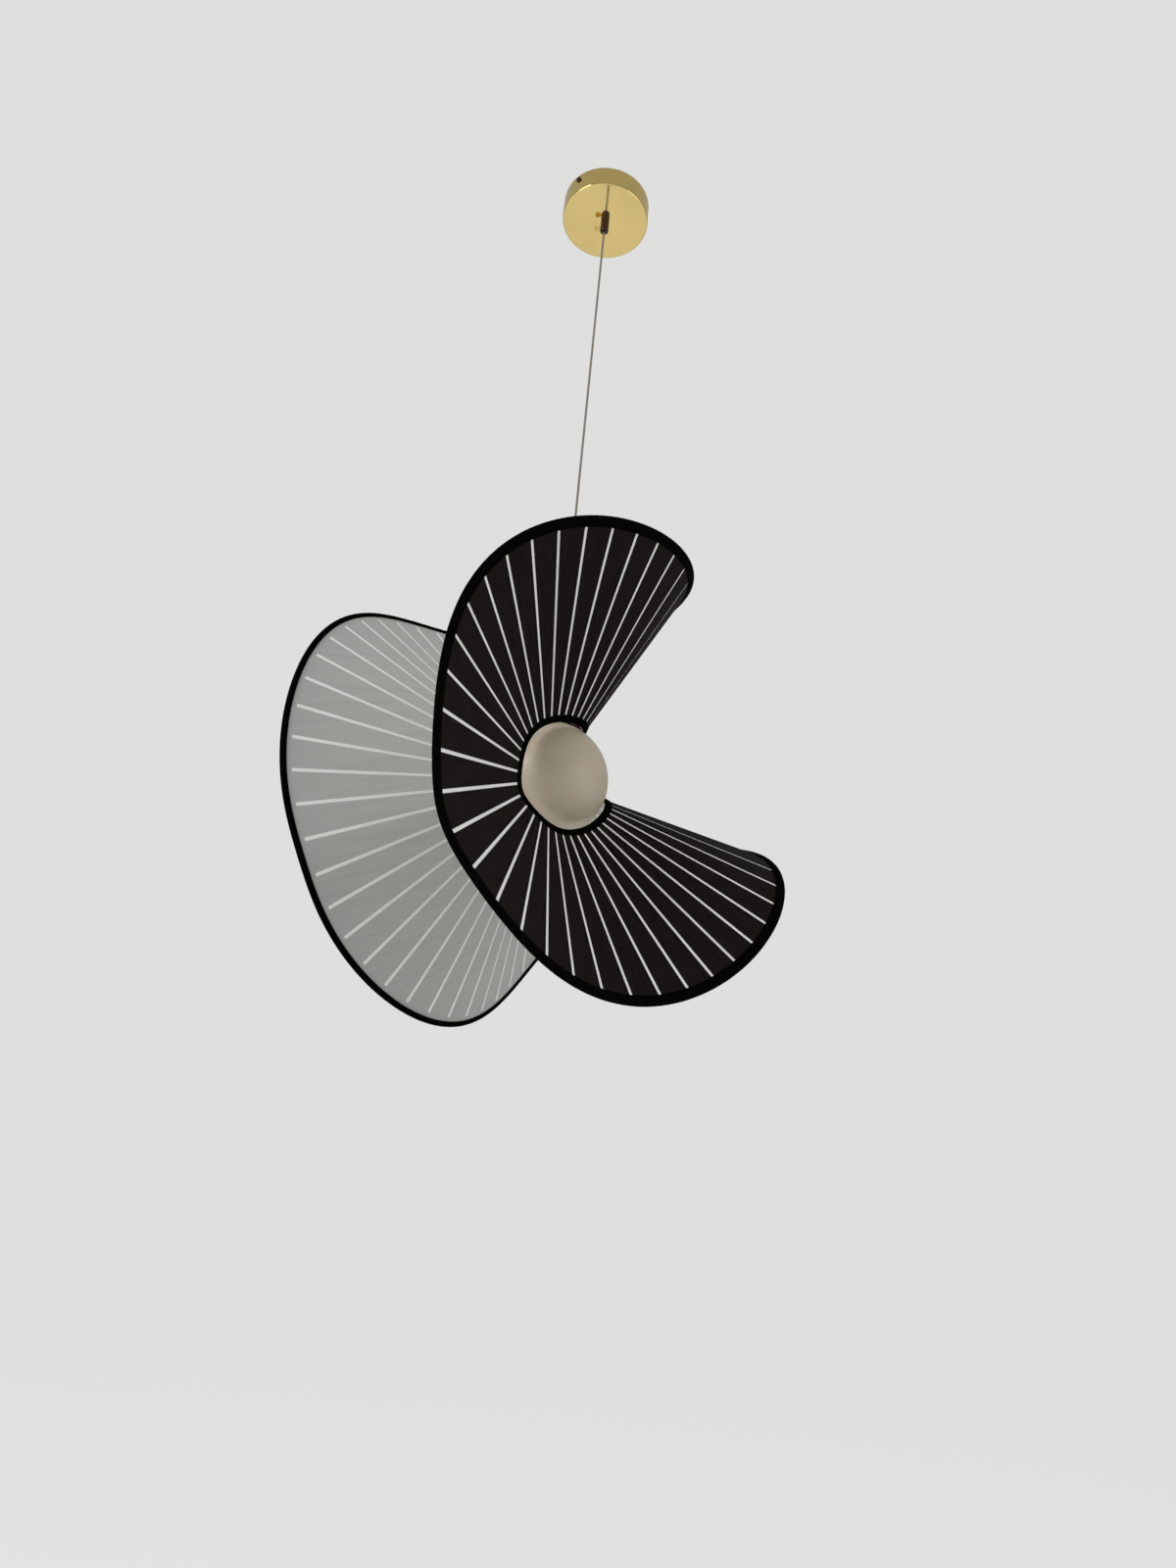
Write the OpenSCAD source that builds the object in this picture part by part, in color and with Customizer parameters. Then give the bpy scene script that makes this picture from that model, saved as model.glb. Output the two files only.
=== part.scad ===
// Pendant light. A black and white fabric shade, stretched as a saddle between two
// wire hoops, stands round an opal glass globe. One thin cord carries it from a
// round brass canopy. Millimetres, +Z up, origin at the centre of the ceiling face.

/* [Ceiling canopy] */
// Outer diameter of the canopy
canopy_d = 112; // [100:1:150]
// Height of the canopy below the ceiling
canopy_h = 30; // [29:1:45]
// Thickness of the spun brass sheet
sheet_t = 1.2; // [0.8:0.1:1.5]
// Radius of the canopy's lower edge
canopy_edge_r = 2; // [1.6:0.1:4]

/* [Ceiling bracket] */
// Distance between the two ceiling screws
slot_spacing = 60; // [58:1:66]
// Width of a ceiling screw's slot
slot_w = 4.6; // [4:0.1:5.4]
// Length of a ceiling screw's slot, end to end
slot_l = 14; // [8:1:16]
// Width of the steel strip
strip_w = 20; // [18:1:26]
// Thickness of the steel strip
strip_t = 2; // [1.5:0.1:2.4]

/* [Cord and grips] */
// Height from the ceiling down to the centre of the globe
drop = 840; // [600:10:1500]
// Diameter of the cord
cord_d = 2.6; // [2.2:0.1:3.2]
// Diameter of the cord grip below the canopy
grip_d = 11; // [10.5:0.5:14]
// Length of the cord grip below the canopy
grip_l = 18; // [15:1:30]
// Diameter of the threaded studs and their nuts' holes
stud_d = 10; // [8:1:10]
// Direction that the thumb screw points in
thumb_angle = -45; // [-180:5:180]

/* [Globe and lampholder] */
// Outer diameter of the glass globe
globe_d = 120; // [116:1:150]
// Thickness of the glass
glass_t = 2.5; // [2:0.1:3.5]
// Outer diameter of the globe's neck
neck_d = 35; // [34:0.5:37]
// Height of the neck above the globe
neck_l = 8; // [7:0.5:12]
// Diameter of the lampholder
holder_d = 21; // [19:0.5:21.5]
// Length of the lampholder
holder_l = 20; // [18:1:22]
// Diameter of the bulb's cover
bulb_d = 16; // [12:0.5:20]
// Length of the bulb below the lampholder
bulb_l = 44; // [36:1:52]

/* [Shade] */
// Diameter of the ball that the shade's rim lies on
shade_d = 540; // [450:10:700]
// Angle of the shade's axis above the horizontal
tilt = 33; // [28:1:34]
// How much farther from the globe the inner hoop stands at its two lobes
lobe_out = 21; // [0:1:30]
// Number of white lines round the shade
rib_count = 84; // [64:4:100]
// Diameter of the outer hoop's wire
outer_wire = 4; // [3:0.5:5]
// Diameter of the inner hoop's wire
inner_wire = 3; // [2.5:0.5:3.5]
// Thickness of the binding tape
tape_t = 0.8; // [0.5:0.1:1]
// Width of the black border along the rim
rim_border = 10.5; // [8:0.5:14]
// Width of the black border round the globe
globe_border = 8; // [7:0.5:10]
// Width of a white line next to the globe
line_in = 2.4; // [1.5:0.1:3]
// Width of a white line next to the rim
line_out = 3.5; // [3:0.1:6]
// Thickness of the white liner
liner_t = 0.5; // [0.3:0.1:0.8]
// Thickness of the black strips
strip_cloth_t = 0.5; // [0.3:0.1:0.8]

/* [Hidden] */
$fn = 64;

// Finishes
brass = [0.78, 0.62, 0.36];
dark_brass = [0.45, 0.36, 0.22];
bronze = [0.20, 0.15, 0.14];
steel = [0.62, 0.63, 0.65];
porcelain = [0.93, 0.92, 0.88];
black_cloth = [0.12, 0.10, 0.10];
white_cloth = [0.78, 0.78, 0.76];
opal = [0.86, 0.82, 0.74];
cord_grey = [0.42, 0.39, 0.35];

// Clearances, and how far a cutter reaches past a face
fit = 0.05;
slack = 0.15;
free_gap = 0.3;
past = 1;

// Canopy and bracket
canopy_r = canopy_d / 2;
canopy_in_r = canopy_r - sheet_t;
tab_w = 12;
tab_x = sqrt(pow(canopy_in_r, 2) - pow(tab_w / 2, 2)) - slack;
tab_l = 14;
side_screw_d = 4;
side_screw_z = 8;
side_screw_l = 7;
pan_head_t = 1.8;
pan_head_over = 2.6;
slot_cut_w = 0.8;
slot_cut_t = 0.7;
edge_steps = 6;

// Terminal block: three poles side by side under the strip
block_l = 30;
block_w = 16;
block_h = 11.5;
pole_step = 9;
wire_hole_d = 3.6;
pole_screw_d = 3;
pole_screw_l = 3.2;
m3 = 3;
m3_head_d = 5.2;
m3_head_t = 1.6;
earth_d = 3.5;
earth_head_d = 6.6;
earth_gap = 0.4;
earth_x = -(block_l / 2 + earth_head_d / 2 + earth_gap);
wire_hole_depth = 4.5;
wire_hole_z = -strip_t - wire_hole_depth;
wire_in = 2;
lead_r = 0.6;
lead_out = 0.75;
lead_sides = 6;
lead_rise = 1;

// Grip stack, from the canopy's floor upwards
washer_t = 1;
washer_d = 18;
nut_t = 3;
nut_flats = 14;
stud_over = 0.6;
stop_d = 5.2;
stop_l = 5;
cord_over = 0.5;
grip_tip_z = -canopy_h - grip_l;
stud_top_z = -canopy_h + sheet_t + washer_t + nut_t + stud_over;
stop_top_z = stud_top_z + stop_l;
cord_end_z = stop_top_z + cord_over;
grip_round = 2.5;
mouth = 0.8;
cord_inside = 1;
thumb_d = 3;
thumb_up = 5;
thumb_head_d = 6;
thumb_head_l = 5;
thumb_collar_d = 4.4;
thumb_collar_l = 2.4;
pad_l = 1.6;
grooves = 14;
groove_w = 0.7;
groove_margin = 0.6;

// Cord: the first stretch bends below the grip, the rest hangs straight
cord_r = cord_d / 2;
neck_stretch = 8;
joint_gap = 0.35;
bend_z = grip_tip_z - neck_stretch;
cord_rings = 60;
cord_sides = 8;

// Lamp head, heights above the centre of the globe
globe_r = globe_d / 2;
neck_r = neck_d / 2;
neck_in_r = neck_r - glass_t;
neck_root_z = sqrt(pow(globe_r, 2) - pow(neck_r, 2));
neck_top_z = neck_root_z + neck_l;
lip_w = 2.3;
lip_r = neck_r + lip_w;
lip_t = 3;
gasket_t = 2;
gasket_inset = 0.5;
cap_step_z = neck_top_z + gasket_t;
lip_room = 1.5;
skirt_in_r = lip_r + lip_room;
skirt_r = skirt_in_r + sheet_t;
skirt_clear = 0.8;
skirt_z = neck_root_z + skirt_clear;
tower_in_r = 14.5;
tower_r = tower_in_r + sheet_t;
tower_h = 24;
cap_bend_r = 2.2;
cap_top_z = cap_step_z + tower_h;
cap_floor_z = cap_top_z - sheet_t;
bridge_t = 1.5;
bridge_w = 10;
bridge_top_w = 17;
bridge_x = 12.3;
bridge_foot_l = 6.5;
bridge_h = 16.5;
bridge_foot_z = cap_floor_z - bridge_h;
bridge_screw_x = 8.2;
bridge_screw_l = 7;
gland_d = 12;
gland_l = 12;
gland_round = 3;
gland_top_z = cap_top_z + gland_l;
gland_stud_z = cap_floor_z - bridge_t - nut_t - stud_over;
cap_cord_over = 1.6;
cap_cord_z = gland_stud_z - cap_cord_over;
holder_top_z = bridge_foot_z;
holder_z = holder_top_z - holder_l;
pin_step = 9;
pin_d = 1.8;
pin_l = 8;
pin_hole_l = 12;
base_d = 14;
base_l = 10;
bulb_top_z = holder_z - free_gap;
set_screw_d = 3;
set_head_d = 6;
set_head_l = 4;
set_head_gap = 1;
set_screw_z = neck_top_z - lip_t - set_screw_d / 2 - 2 * fit;

// Shade. A straight line from the globe's centre, carried once round this closed
// curve, sweeps the cloth, so every white line is straight and points at the globe.
lift0 = -3.5;
lift2 = 64.5;
lift4 = -2;
turn2 = -10.5;
turn4 = 22;
rib_phase = 0.4;
walk_steps = 720;
stations = 2 * rib_count;
per_quarter = rib_count / 4;
first_rib = -floor(rib_count / 8);
rim_r = shade_d / 2;
outer_wire_r = outer_wire / 2;
inner_wire_r = inner_wire / 2;
outer_hoop_r = rim_r - outer_wire_r - tape_t;
hoop_gap = 5;
lobe_power = 8;
bracket_room = 5.9;
inner_hoop_r = max(globe_r + hoop_gap, (skirt_r + bracket_room) / sin(lift(0) - tilt));
cloth_in_r = inner_hoop_r + inner_wire_r + 2 * fit;
cloth_out_r = outer_hoop_r - outer_wire_r - 2 * fit;
wire_sides = 6;
white_hem = 6;
inner_white_hem = 5;
strip_top = fit + strip_cloth_t;
liner_under = -fit - liner_t;

// Shade holder: two clamps on the inner hoop's nearest point to the cap
clamp_rib = 1.15;
clamp_w = 7;
clamp_t = 1.2;
clamp_l = 12;
clamp_half = inner_wire_r + tape_t + 2 * fit;
clamp_screw_d = 2.5;
clamp_screw_out = 5.5;
clamp_head_d = 4.4;
clamp_head_t = 1.5;
clamp_edge = 0.8;
band_angle = 76;
arm_w = 4;
arm_t = 1.6;
arm_inset = 7;
band_h = 7;
band_up = 1.4;
band_z = skirt_z + band_up;
rivet_d = 2.4;
rivet_angle = 14;
rivet_head_t = 0.8;

function unit(v) = v / norm(v);

// Direction of the cloth at t degrees round the curve
function azimuth(t) = t + turn2 * sin(2 * t) + turn4 * sin(4 * t);
function lift(t) = lift0 + lift2 * cos(2 * t) + lift4 * cos(4 * t);
function ray(t) = [cos(lift(t)) * cos(azimuth(t)), cos(lift(t)) * sin(azimuth(t)), sin(lift(t))];

// Length walked along the curve on a ball of radius 1, beside the angle t
walk = [for (i = 0, s = 0; i <= walk_steps;
        s = s + norm(ray((i + 1) * 360 / walk_steps) - ray(i * 360 / walk_steps)), i = i + 1)
        [s, i * 360 / walk_steps]];
walk_l = walk[walk_steps][0];
rib_angle = walk_l / rib_count;

// Direction of white line number k, the cloth's black side there, and the inner hoop's lobe there
function angle_at(k) = let (s = (k + rib_phase) * rib_angle, laps = floor(s / walk_l))
    lookup(s - laps * walk_l, walk);
function line_ray(k) = ray(angle_at(k));
function line_side(k) = unit(cross(line_ray(k), line_ray(k + 0.05) - line_ray(k - 0.05)));
function lobe_at(k) = lobe_out * pow(sin(angle_at(k)), lobe_power);
rays = [for (i = [0 : stations - 1]) line_ray(i / 2)];
sides = [for (i = [0 : stations - 1]) line_side(i / 2)];
lobes = [for (i = [0 : stations - 1]) lobe_at(i / 2)];

// Point at radius r and height h over the cloth, at half line number i or at line k. Next to the
// inner hoop lobe is 1, and the radius grows where the hoop's lobe does. At the rim lobe is 0.
function station(i, r, h, lobe) = let (j = (i % stations + stations) % stations)
    (r + lobe * lobes[j]) * rays[j] + h * sides[j];
function cloth(k, r, h, lobe) = let (i = floor(2 * k), f = 2 * k - i)
    (1 - f) * station(i, r, h, lobe) + f * station(i + 1, r, h, lobe);

// Width of a white line at radius r, and the share of a line's pitch that half of it takes
function line_w(r) = line_in + (line_out - line_in) * (r - cloth_in_r) / (cloth_out_r - cloth_in_r);
function half_line(r) = line_w(r) / 2 / r / rib_angle;

// Points of a round wire, and of a tape folded over it. Out is towards the cloth.
function wire_outline(r) = [for (a = [0 : 360 / wire_sides : 359]) r * [cos(a), sin(a)]];
function tape_outline(r, black_reach, white_reach) = concat(
    [[black_reach, strip_top + fit + tape_t]],
    [for (a = [60 : 60 : 300]) (r + fit + tape_t) * [cos(a), sin(a)]],
    [[white_reach, liner_under - fit - tape_t], [white_reach, liner_under - fit]],
    [for (a = [300 : -60 : 60]) (r + fit) * [cos(a), sin(a)]],
    [[black_reach, strip_top + fit]]);

// A curve of degree n - 1 through the first and last of n points
function bezier_at(p, f) = len(p) == 1 ? p[0]
    : bezier_at([for (i = [0 : len(p) - 2]) (1 - f) * p[i] + f * p[i + 1]], f);
function bezier(p, n) = [for (i = [0 : n]) bezier_at(p, i / n)];

// A band along the shade's curve between two lines, or closed round the whole of it. The outline
// runs anticlockwise, out from the hoop towards the cloth and up towards its black side. Inward is
// -1 for the outer hoop.
module ring_sweep(r, inward, outline, first = 0, last = rib_count) {
    n = len(outline);
    steps = 2 * (last - first);
    closed = steps == stations;
    lobe = inward < 0 ? 0 : 1;
    rows = closed ? steps : steps + 1;
    line = inward < 0 ? [for (j = [n - 1 : -1 : 0]) outline[j]] : outline;
    walls = [for (i = [0 : steps - 1], j = [0 : n - 1])
        let (m = (i + 1) % rows, q = (j + 1) % n,
            a = i * n + j, b = i * n + q, c = m * n + j, d = m * n + q)
        each [[a, b, c], [b, d, c]]];
    caps = closed ? [] : [[for (j = [n - 1 : -1 : 0]) j], [for (j = [0 : n - 1]) steps * n + j]];
    polyhedron(
        points = [for (i = [0 : rows - 1], p = line)
            station(2 * first + i, r + inward * p[0], p[1], lobe)],
        faces = concat(walls, caps),
        convexity = 12);
}

// A curved plate between two radii, over a list of line numbers at each radius
module cloth_plate(in_ks, out_ks, low, high) {
    n = len(in_ks);
    function quad(a, b, c, d) = [[a, b, c], [a, c, d]];
    polyhedron(
        points = concat(
            [for (k = in_ks) cloth(k, cloth_in_r, low, 1)],
            [for (k = out_ks) cloth(k, cloth_out_r, low, 0)],
            [for (k = in_ks) cloth(k, cloth_in_r, high, 1)],
            [for (k = out_ks) cloth(k, cloth_out_r, high, 0)]),
        faces = concat(
            [for (i = [0 : n - 2]) each concat(
                quad(i, i + 1, n + i + 1, n + i),
                quad(2 * n + i, 3 * n + i, 3 * n + i + 1, 2 * n + i + 1),
                quad(i, 2 * n + i, 2 * n + i + 1, i + 1),
                quad(n + i, n + i + 1, 3 * n + i + 1, 3 * n + i))],
            quad(0, n, 3 * n, 2 * n),
            quad(n - 1, 3 * n - 1, 4 * n - 1, 2 * n - 1)),
        convexity = 10);
}

// A round tube along a route that never runs along the X axis
module tube(route, r, n_sides) {
    last = len(route) - 1;
    function way(i) = unit(route[min(i + 1, last)] - route[max(i - 1, 0)]);
    function across(i) = unit(cross([1, 0, 0], way(i)));
    rings = [for (i = [0 : last], j = [0 : n_sides - 1])
        let (a = 360 * j / n_sides) route[i] + r * (cos(a) * across(i) + sin(a) * cross(way(i), across(i)))];
    walls = [for (i = [0 : last - 1], j = [0 : n_sides - 1])
        let (a = i * n_sides + j, b = i * n_sides + (j + 1) % n_sides)
        each [[a, a + n_sides, b], [b, a + n_sides, b + n_sides]]];
    start = [for (j = [0 : n_sides - 1]) j];
    end = [for (j = [n_sides - 1 : -1 : 0]) last * n_sides + j];
    polyhedron(points = rings, faces = concat(walls, [start, end]), convexity = 4);
}

// Axes of the lamp head, upright at the globe's centre, and of the shade, tipped forward
module at_globe() { translate([0, 0, -drop]) children(); }
module at_shade() { at_globe() rotate([0, tilt - 90, 0]) children(); }

// Axes on the inner hoop at line k: Z away from the globe, X to the white side
module on_hoop(k) {
    z = unit(cloth(k, 1, 0, 0));
    side = cloth(k, 0, 1, 0);
    x = -unit(side - (side * z) * z);
    y = cross(z, x);
    p = (inner_hoop_r + lobe_at(k)) * z;
    multmatrix([[x[0], y[0], z[0], p[0]], [x[1], y[1], z[1], p[1]], [x[2], y[2], z[2], p[2]], [0, 0, 0, 1]])
        children();
}

// A pan head screw pointing up +Z from the underside of its head, slotted
module pan_screw(d, l, head_d, head_t) {
    difference() {
        union() {
            cylinder(d = d, h = l);
            translate([0, 0, -head_t]) cylinder(d = head_d, h = head_t);
        }
        translate([-head_d, -slot_cut_w / 2, -head_t - past])
            cube([2 * head_d, slot_cut_w, past + slot_cut_t]);
    }
}

// Cutter for a round hole through a plate of thickness t that stands on z = 0
module hole(d, t) { translate([0, 0, -past]) cylinder(d = d, h = t + 2 * past); }

// A nut with a plain hole for the threaded studs
module hex_nut(t) {
    difference() {
        cylinder(d = nut_flats / cos(30), h = t, $fn = 6);
        hole(stud_d, t);
    }
}

// Steel strip against the ceiling, with a tab bent down at each end
module ceiling_bracket() {
    color(steel) difference() {
        intersection() {
            union() {
                translate([-tab_x, -strip_w / 2, -strip_t]) cube([2 * tab_x, strip_w, strip_t]);
                for (s = [-1, 1])
                    translate([s * (tab_x - strip_t / 2) - strip_t / 2, -tab_w / 2, -tab_l])
                        cube([strip_t, tab_w, tab_l]);
            }
            translate([0, 0, -tab_l - past]) cylinder(r = canopy_in_r - slack, h = tab_l + 2 * past);
        }
        for (s = [-1, 1]) {
            translate([s * slot_spacing / 2, 0, -strip_t - past]) slot_cut();
            translate([s * tab_x, 0, -side_screw_z]) rotate([0, -s * 90, 0]) hole(side_screw_d, strip_t);
        }
        translate([pole_step / 2, 0, -strip_t]) hole(m3, strip_t);
        translate([earth_x, 0, -strip_t]) hole(earth_d, strip_t);
    }
}

// Cutter for one slot, round at both ends
module slot_cut() {
    reach = (slot_l - slot_w) / 2;
    for (e = [-1, 1])
        translate([e * reach, 0, 0]) cylinder(d = slot_w, h = strip_t + 2 * past);
    translate([-reach, -slot_w / 2, 0]) cube([2 * reach, slot_w, strip_t + 2 * past]);
}

// Earth screw, up into the strip
module earth_screw() {
    color(dark_brass) translate([earth_x, 0, -strip_t])
        pan_screw(earth_d - 2 * fit, strip_t - fit, earth_head_d, m3_head_t);
}

// Three pole connector under the strip: wires enter along Y, screws from below
module terminal_block() {
    color(porcelain) difference() {
        translate([-block_l / 2, -block_w / 2, -strip_t - block_h]) cube([block_l, block_w, block_h]);
        for (x = [-pole_step, 0, pole_step]) {
            translate([x, block_w / 2 + past, wire_hole_z]) rotate([90, 0, 0])
                cylinder(d = wire_hole_d, h = block_w + 2 * past);
            for (y = [-1, 1])
                translate([x, y * block_w / 4, -strip_t - block_h - past])
                    cylinder(d = pole_screw_d + 2 * slack, h = block_h / 2);
        }
        translate([pole_step / 2, 0, -strip_t - block_h]) hole(m3, block_h);
    }
}

// Six clamping screws, flush in the block's underside
module terminal_screws() {
    color(dark_brass) for (x = [-pole_step, 0, pole_step], y = [-1, 1])
        translate([x, y * block_w / 4, -strip_t - block_h + slack])
            difference() {
                cylinder(d = pole_screw_d, h = pole_screw_l);
                translate([-pole_screw_d, -slot_cut_w / 2, -past])
                    cube([2 * pole_screw_d, slot_cut_w, past + slot_cut_t]);
            }
}

// Screw that holds the terminal block to the strip
module block_screw() {
    color(steel) translate([pole_step / 2, 0, -strip_t - block_h])
        pan_screw(m3 - 2 * fit, block_h + strip_t - fit, m3_head_d, m3_head_t);
}

// Spun brass cup, open to the ceiling
module canopy() {
    edge_x = canopy_r - canopy_edge_r;
    edge_z = -canopy_h + canopy_edge_r;
    inner_edge_r = canopy_edge_r - sheet_t;
    hole_r = stud_d / 2 + slack;
    edge = [for (i = [0 : edge_steps]) let (a = -90 * i / edge_steps)
        [edge_x + canopy_edge_r * cos(a), edge_z + canopy_edge_r * sin(a)]];
    inner_edge = [for (i = [0 : edge_steps]) let (a = -90 + 90 * i / edge_steps)
        [edge_x + inner_edge_r * cos(a), edge_z + inner_edge_r * sin(a)]];
    color(brass) difference() {
        rotate_extrude($fn = 128) polygon(concat(
            [[canopy_r, 0]], edge, [[hole_r, -canopy_h], [hole_r, -canopy_h + sheet_t]], inner_edge,
            [[canopy_in_r, 0]]));
        translate([-canopy_r - past, 0, -side_screw_z]) rotate([0, 90, 0])
            cylinder(d = side_screw_d + 2 * slack, h = canopy_d + 2 * past);
    }
}

// One screw on each side, through the canopy's wall into the strip's tab
module canopy_screws() {
    color(bronze) for (s = [-1, 1])
        translate([s * (canopy_r + fit), 0, -side_screw_z]) rotate([0, -s * 90, 0])
            pan_screw(side_screw_d - 2 * fit, side_screw_l, side_screw_d + pan_head_over, pan_head_t);
}

// Brass grip: a threaded stud through the canopy and a body that clamps the cord
module cord_grip() {
    body_r = grip_d / 2;
    bore_r = cord_r + slack;
    stud_r = stud_d / 2 - fit;
    round_tip = [for (i = [0 : edge_steps]) let (a = -90 * i / edge_steps)
        [body_r - grip_round + grip_round * cos(a), grip_tip_z + grip_round + grip_round * sin(a)]];
    color(bronze) difference() {
        rotate_extrude() polygon(concat(
            [[bore_r, stud_top_z], [stud_r, stud_top_z], [stud_r, -canopy_h], [body_r, -canopy_h]], round_tip,
            [[bore_r + mouth, grip_tip_z], [bore_r, grip_tip_z + mouth]]));
        on_thumb() cylinder(d = thumb_d, h = grip_d);
    }
}

// Axes of the thumb screw: Z out of the grip's side
module on_thumb() {
    translate([0, 0, grip_tip_z + thumb_up]) rotate([0, 0, thumb_angle]) rotate([0, 90, 0]) children();
}

// Washer on the canopy's floor, round the stud
module grip_washer() {
    color(steel) translate([0, 0, -canopy_h + sheet_t]) difference() {
        cylinder(d = washer_d, h = washer_t);
        hole(stud_d + 2 * slack, washer_t);
    }
}

// Nut that pulls the grip up against the canopy
module grip_nut() {
    color(steel) translate([0, 0, -canopy_h + sheet_t + washer_t]) hex_nut(nut_t);
}

// Nylon pad between the thumb screw and the cord
module grip_pad() {
    color(porcelain) on_thumb() translate([0, 0, cord_r + fit]) cylinder(d = thumb_d - 2 * fit, h = pad_l);
}

// Thumb screw with a grooved head
module thumb_screw() {
    collar_z = grip_d / 2 + free_gap;
    head_z = collar_z + thumb_collar_l;
    color(brass) on_thumb() difference() {
        union() {
            translate([0, 0, cord_r + 2 * fit + pad_l]) cylinder(d = thumb_d - 2 * fit, h = collar_z);
            translate([0, 0, collar_z]) cylinder(d = thumb_collar_d, h = thumb_collar_l);
            translate([0, 0, head_z]) cylinder(d = thumb_head_d, h = thumb_head_l);
        }
        for (a = [0 : 360 / grooves : 359])
            rotate([0, 0, a]) translate([thumb_head_d / 2, 0, head_z + thumb_head_l / 2]) rotate([0, 0, 45])
                cube([groove_w, groove_w, thumb_head_l - 2 * groove_margin], center = true);
    }
}

// Ferrule that keeps the cord from slipping down out of the grip
module cord_stop() {
    color(steel) translate([0, 0, stud_top_z]) difference() {
        cylinder(d = stop_d, h = stop_l);
        hole(cord_d + 2 * fit, stop_l);
    }
}

// The cord's length inside the grip and the ferrule
module cord_in_canopy() {
    bottom = grip_tip_z + cord_inside;
    color(cord_grey) translate([0, 0, bottom]) cylinder(r = cord_r, h = cord_end_z - bottom);
}

// Live and neutral, from the cord's end to two poles of the block
module canopy_leads() {
    color(cord_grey) for (s = [-1, 1])
        let (x = (s - 1) * pole_step / 2, start = s * lead_out, pole_y = s * (block_w / 2 - wire_in))
            tube(concat([[start, 0, cord_end_z + fit]], bezier([[start, 0, cord_end_z + lead_rise],
                [start, 0, cord_end_z + 2], [x, s * 9, cord_end_z + 2], [x, s * 16, -strip_t - block_h],
                [x, s * 15, wire_hole_z], [x, pole_y, wire_hole_z]], 14)), lead_r, lead_sides);
}

// First short stretch of cord, which bends at the grip's mouth
module cord_neck() {
    color(cord_grey) translate([0, 0, bend_z + joint_gap])
        cylinder(r = cord_r, h = neck_stretch - joint_gap + fit);
}

// The straight hanging stretch, down to the gland on the lamp head
module suspension_cord() {
    top = bend_z - joint_gap;
    bottom = -drop + gland_top_z + free_gap;
    step = (bottom - top) / (cord_rings - 1);
    color(cord_grey) tube([for (i = [0 : cord_rings - 1]) [0, 0, top + i * step]], cord_r, cord_sides);
}

// Brass gland on top of the cap, with a stud down through it
module cap_gland() {
    gland_r = gland_d / 2;
    bore_r = cord_r + slack;
    stud_r = stud_d / 2 - fit;
    shoulder = [for (i = [0 : edge_steps]) let (a = 90 * i / edge_steps)
        [gland_r - gland_round + gland_round * cos(a), gland_top_z - gland_round + gland_round * sin(a)]];
    color(bronze) at_globe() rotate_extrude() polygon(concat(
        [[bore_r, gland_stud_z], [stud_r, gland_stud_z], [stud_r, cap_top_z], [gland_r, cap_top_z]], shoulder,
        [[bore_r, gland_top_z]]));
}

// Nut that pulls the gland, the cap and the bridge together
module gland_nut() {
    color(steel) at_globe() translate([0, 0, cap_floor_z - bridge_t - nut_t]) hex_nut(nut_t);
}

// The cord's length inside the gland
module cord_in_cap() {
    color(cord_grey) at_globe() translate([0, 0, cap_cord_z])
        cylinder(r = cord_r, h = gland_top_z - cap_cord_z);
}

// Stepped, bronzed cap: a tower for the lampholder and a skirt round the globe's neck
module holder_cap() {
    function bend(r, z, q) = [for (i = [0 : edge_steps]) let (a = 90 * i / edge_steps)
        [r - q + q * cos(a), z - q + q * sin(a)]];
    inner_bend_r = cap_bend_r - sheet_t;
    outside = concat([[skirt_r, skirt_z]], bend(skirt_r, cap_step_z + sheet_t, cap_bend_r),
        [[tower_r, cap_step_z + sheet_t]], bend(tower_r, cap_top_z, cap_bend_r));
    inside = concat([[skirt_in_r, skirt_z]], bend(skirt_in_r, cap_step_z, inner_bend_r),
        [[tower_in_r, cap_step_z]], bend(tower_in_r, cap_floor_z, inner_bend_r));
    color(bronze) at_globe() difference() {
        rotate_extrude($fn = 96) polygon(concat(outside,
            [[stud_d / 2 + fit, cap_top_z], [stud_d / 2 + fit, cap_floor_z]],
            [for (i = [len(inside) - 1 : -1 : 0]) inside[i]]));
        for (a = [0 : 120 : 240])
            rotate([0, 0, a]) translate([skirt_in_r, 0, set_screw_z]) rotate([0, 90, 0])
                hole(set_screw_d, sheet_t);
        for (a = [-rivet_angle, rivet_angle])
            rotate([0, 0, 180 + a]) translate([skirt_in_r, 0, band_z + band_h / 2]) rotate([0, 90, 0])
                hole(rivet_d, sheet_t);
    }
}

// Steel strap under the gland's nut, with two feet that carry the lampholder
module holder_bridge() {
    color(steel) at_globe() difference() {
        union() {
            intersection() {
                translate([-bridge_x, -bridge_top_w / 2, cap_floor_z - bridge_t])
                    cube([2 * bridge_x, bridge_top_w, bridge_t]);
                translate([0, 0, cap_floor_z - bridge_t])
                    cylinder(r = tower_in_r - cap_bend_r - slack, h = bridge_t);
            }
            for (s = [-1, 1]) {
                translate([s * (bridge_x - bridge_t / 2), 0, bridge_foot_z + bridge_h / 2])
                    cube([bridge_t, bridge_w, bridge_h], center = true);
                translate([s * (bridge_x - bridge_foot_l / 2), 0, bridge_foot_z + bridge_t / 2])
                    cube([bridge_foot_l, bridge_w, bridge_t], center = true);
            }
        }
        translate([0, 0, cap_floor_z - bridge_t]) hole(stud_d + 2 * slack, bridge_t);
        for (s = [-1, 1])
            translate([s * bridge_screw_x, 0, bridge_foot_z]) hole(m3, bridge_t);
    }
}

// Two screws down through the bridge's feet into the lampholder
module bridge_screws() {
    color(steel) at_globe() for (s = [-1, 1])
        translate([s * bridge_screw_x, 0, bridge_foot_z + bridge_t]) rotate([180, 0, 0])
            pan_screw(m3 - 2 * fit, bridge_screw_l, m3_head_d, m3_head_t);
}

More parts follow.
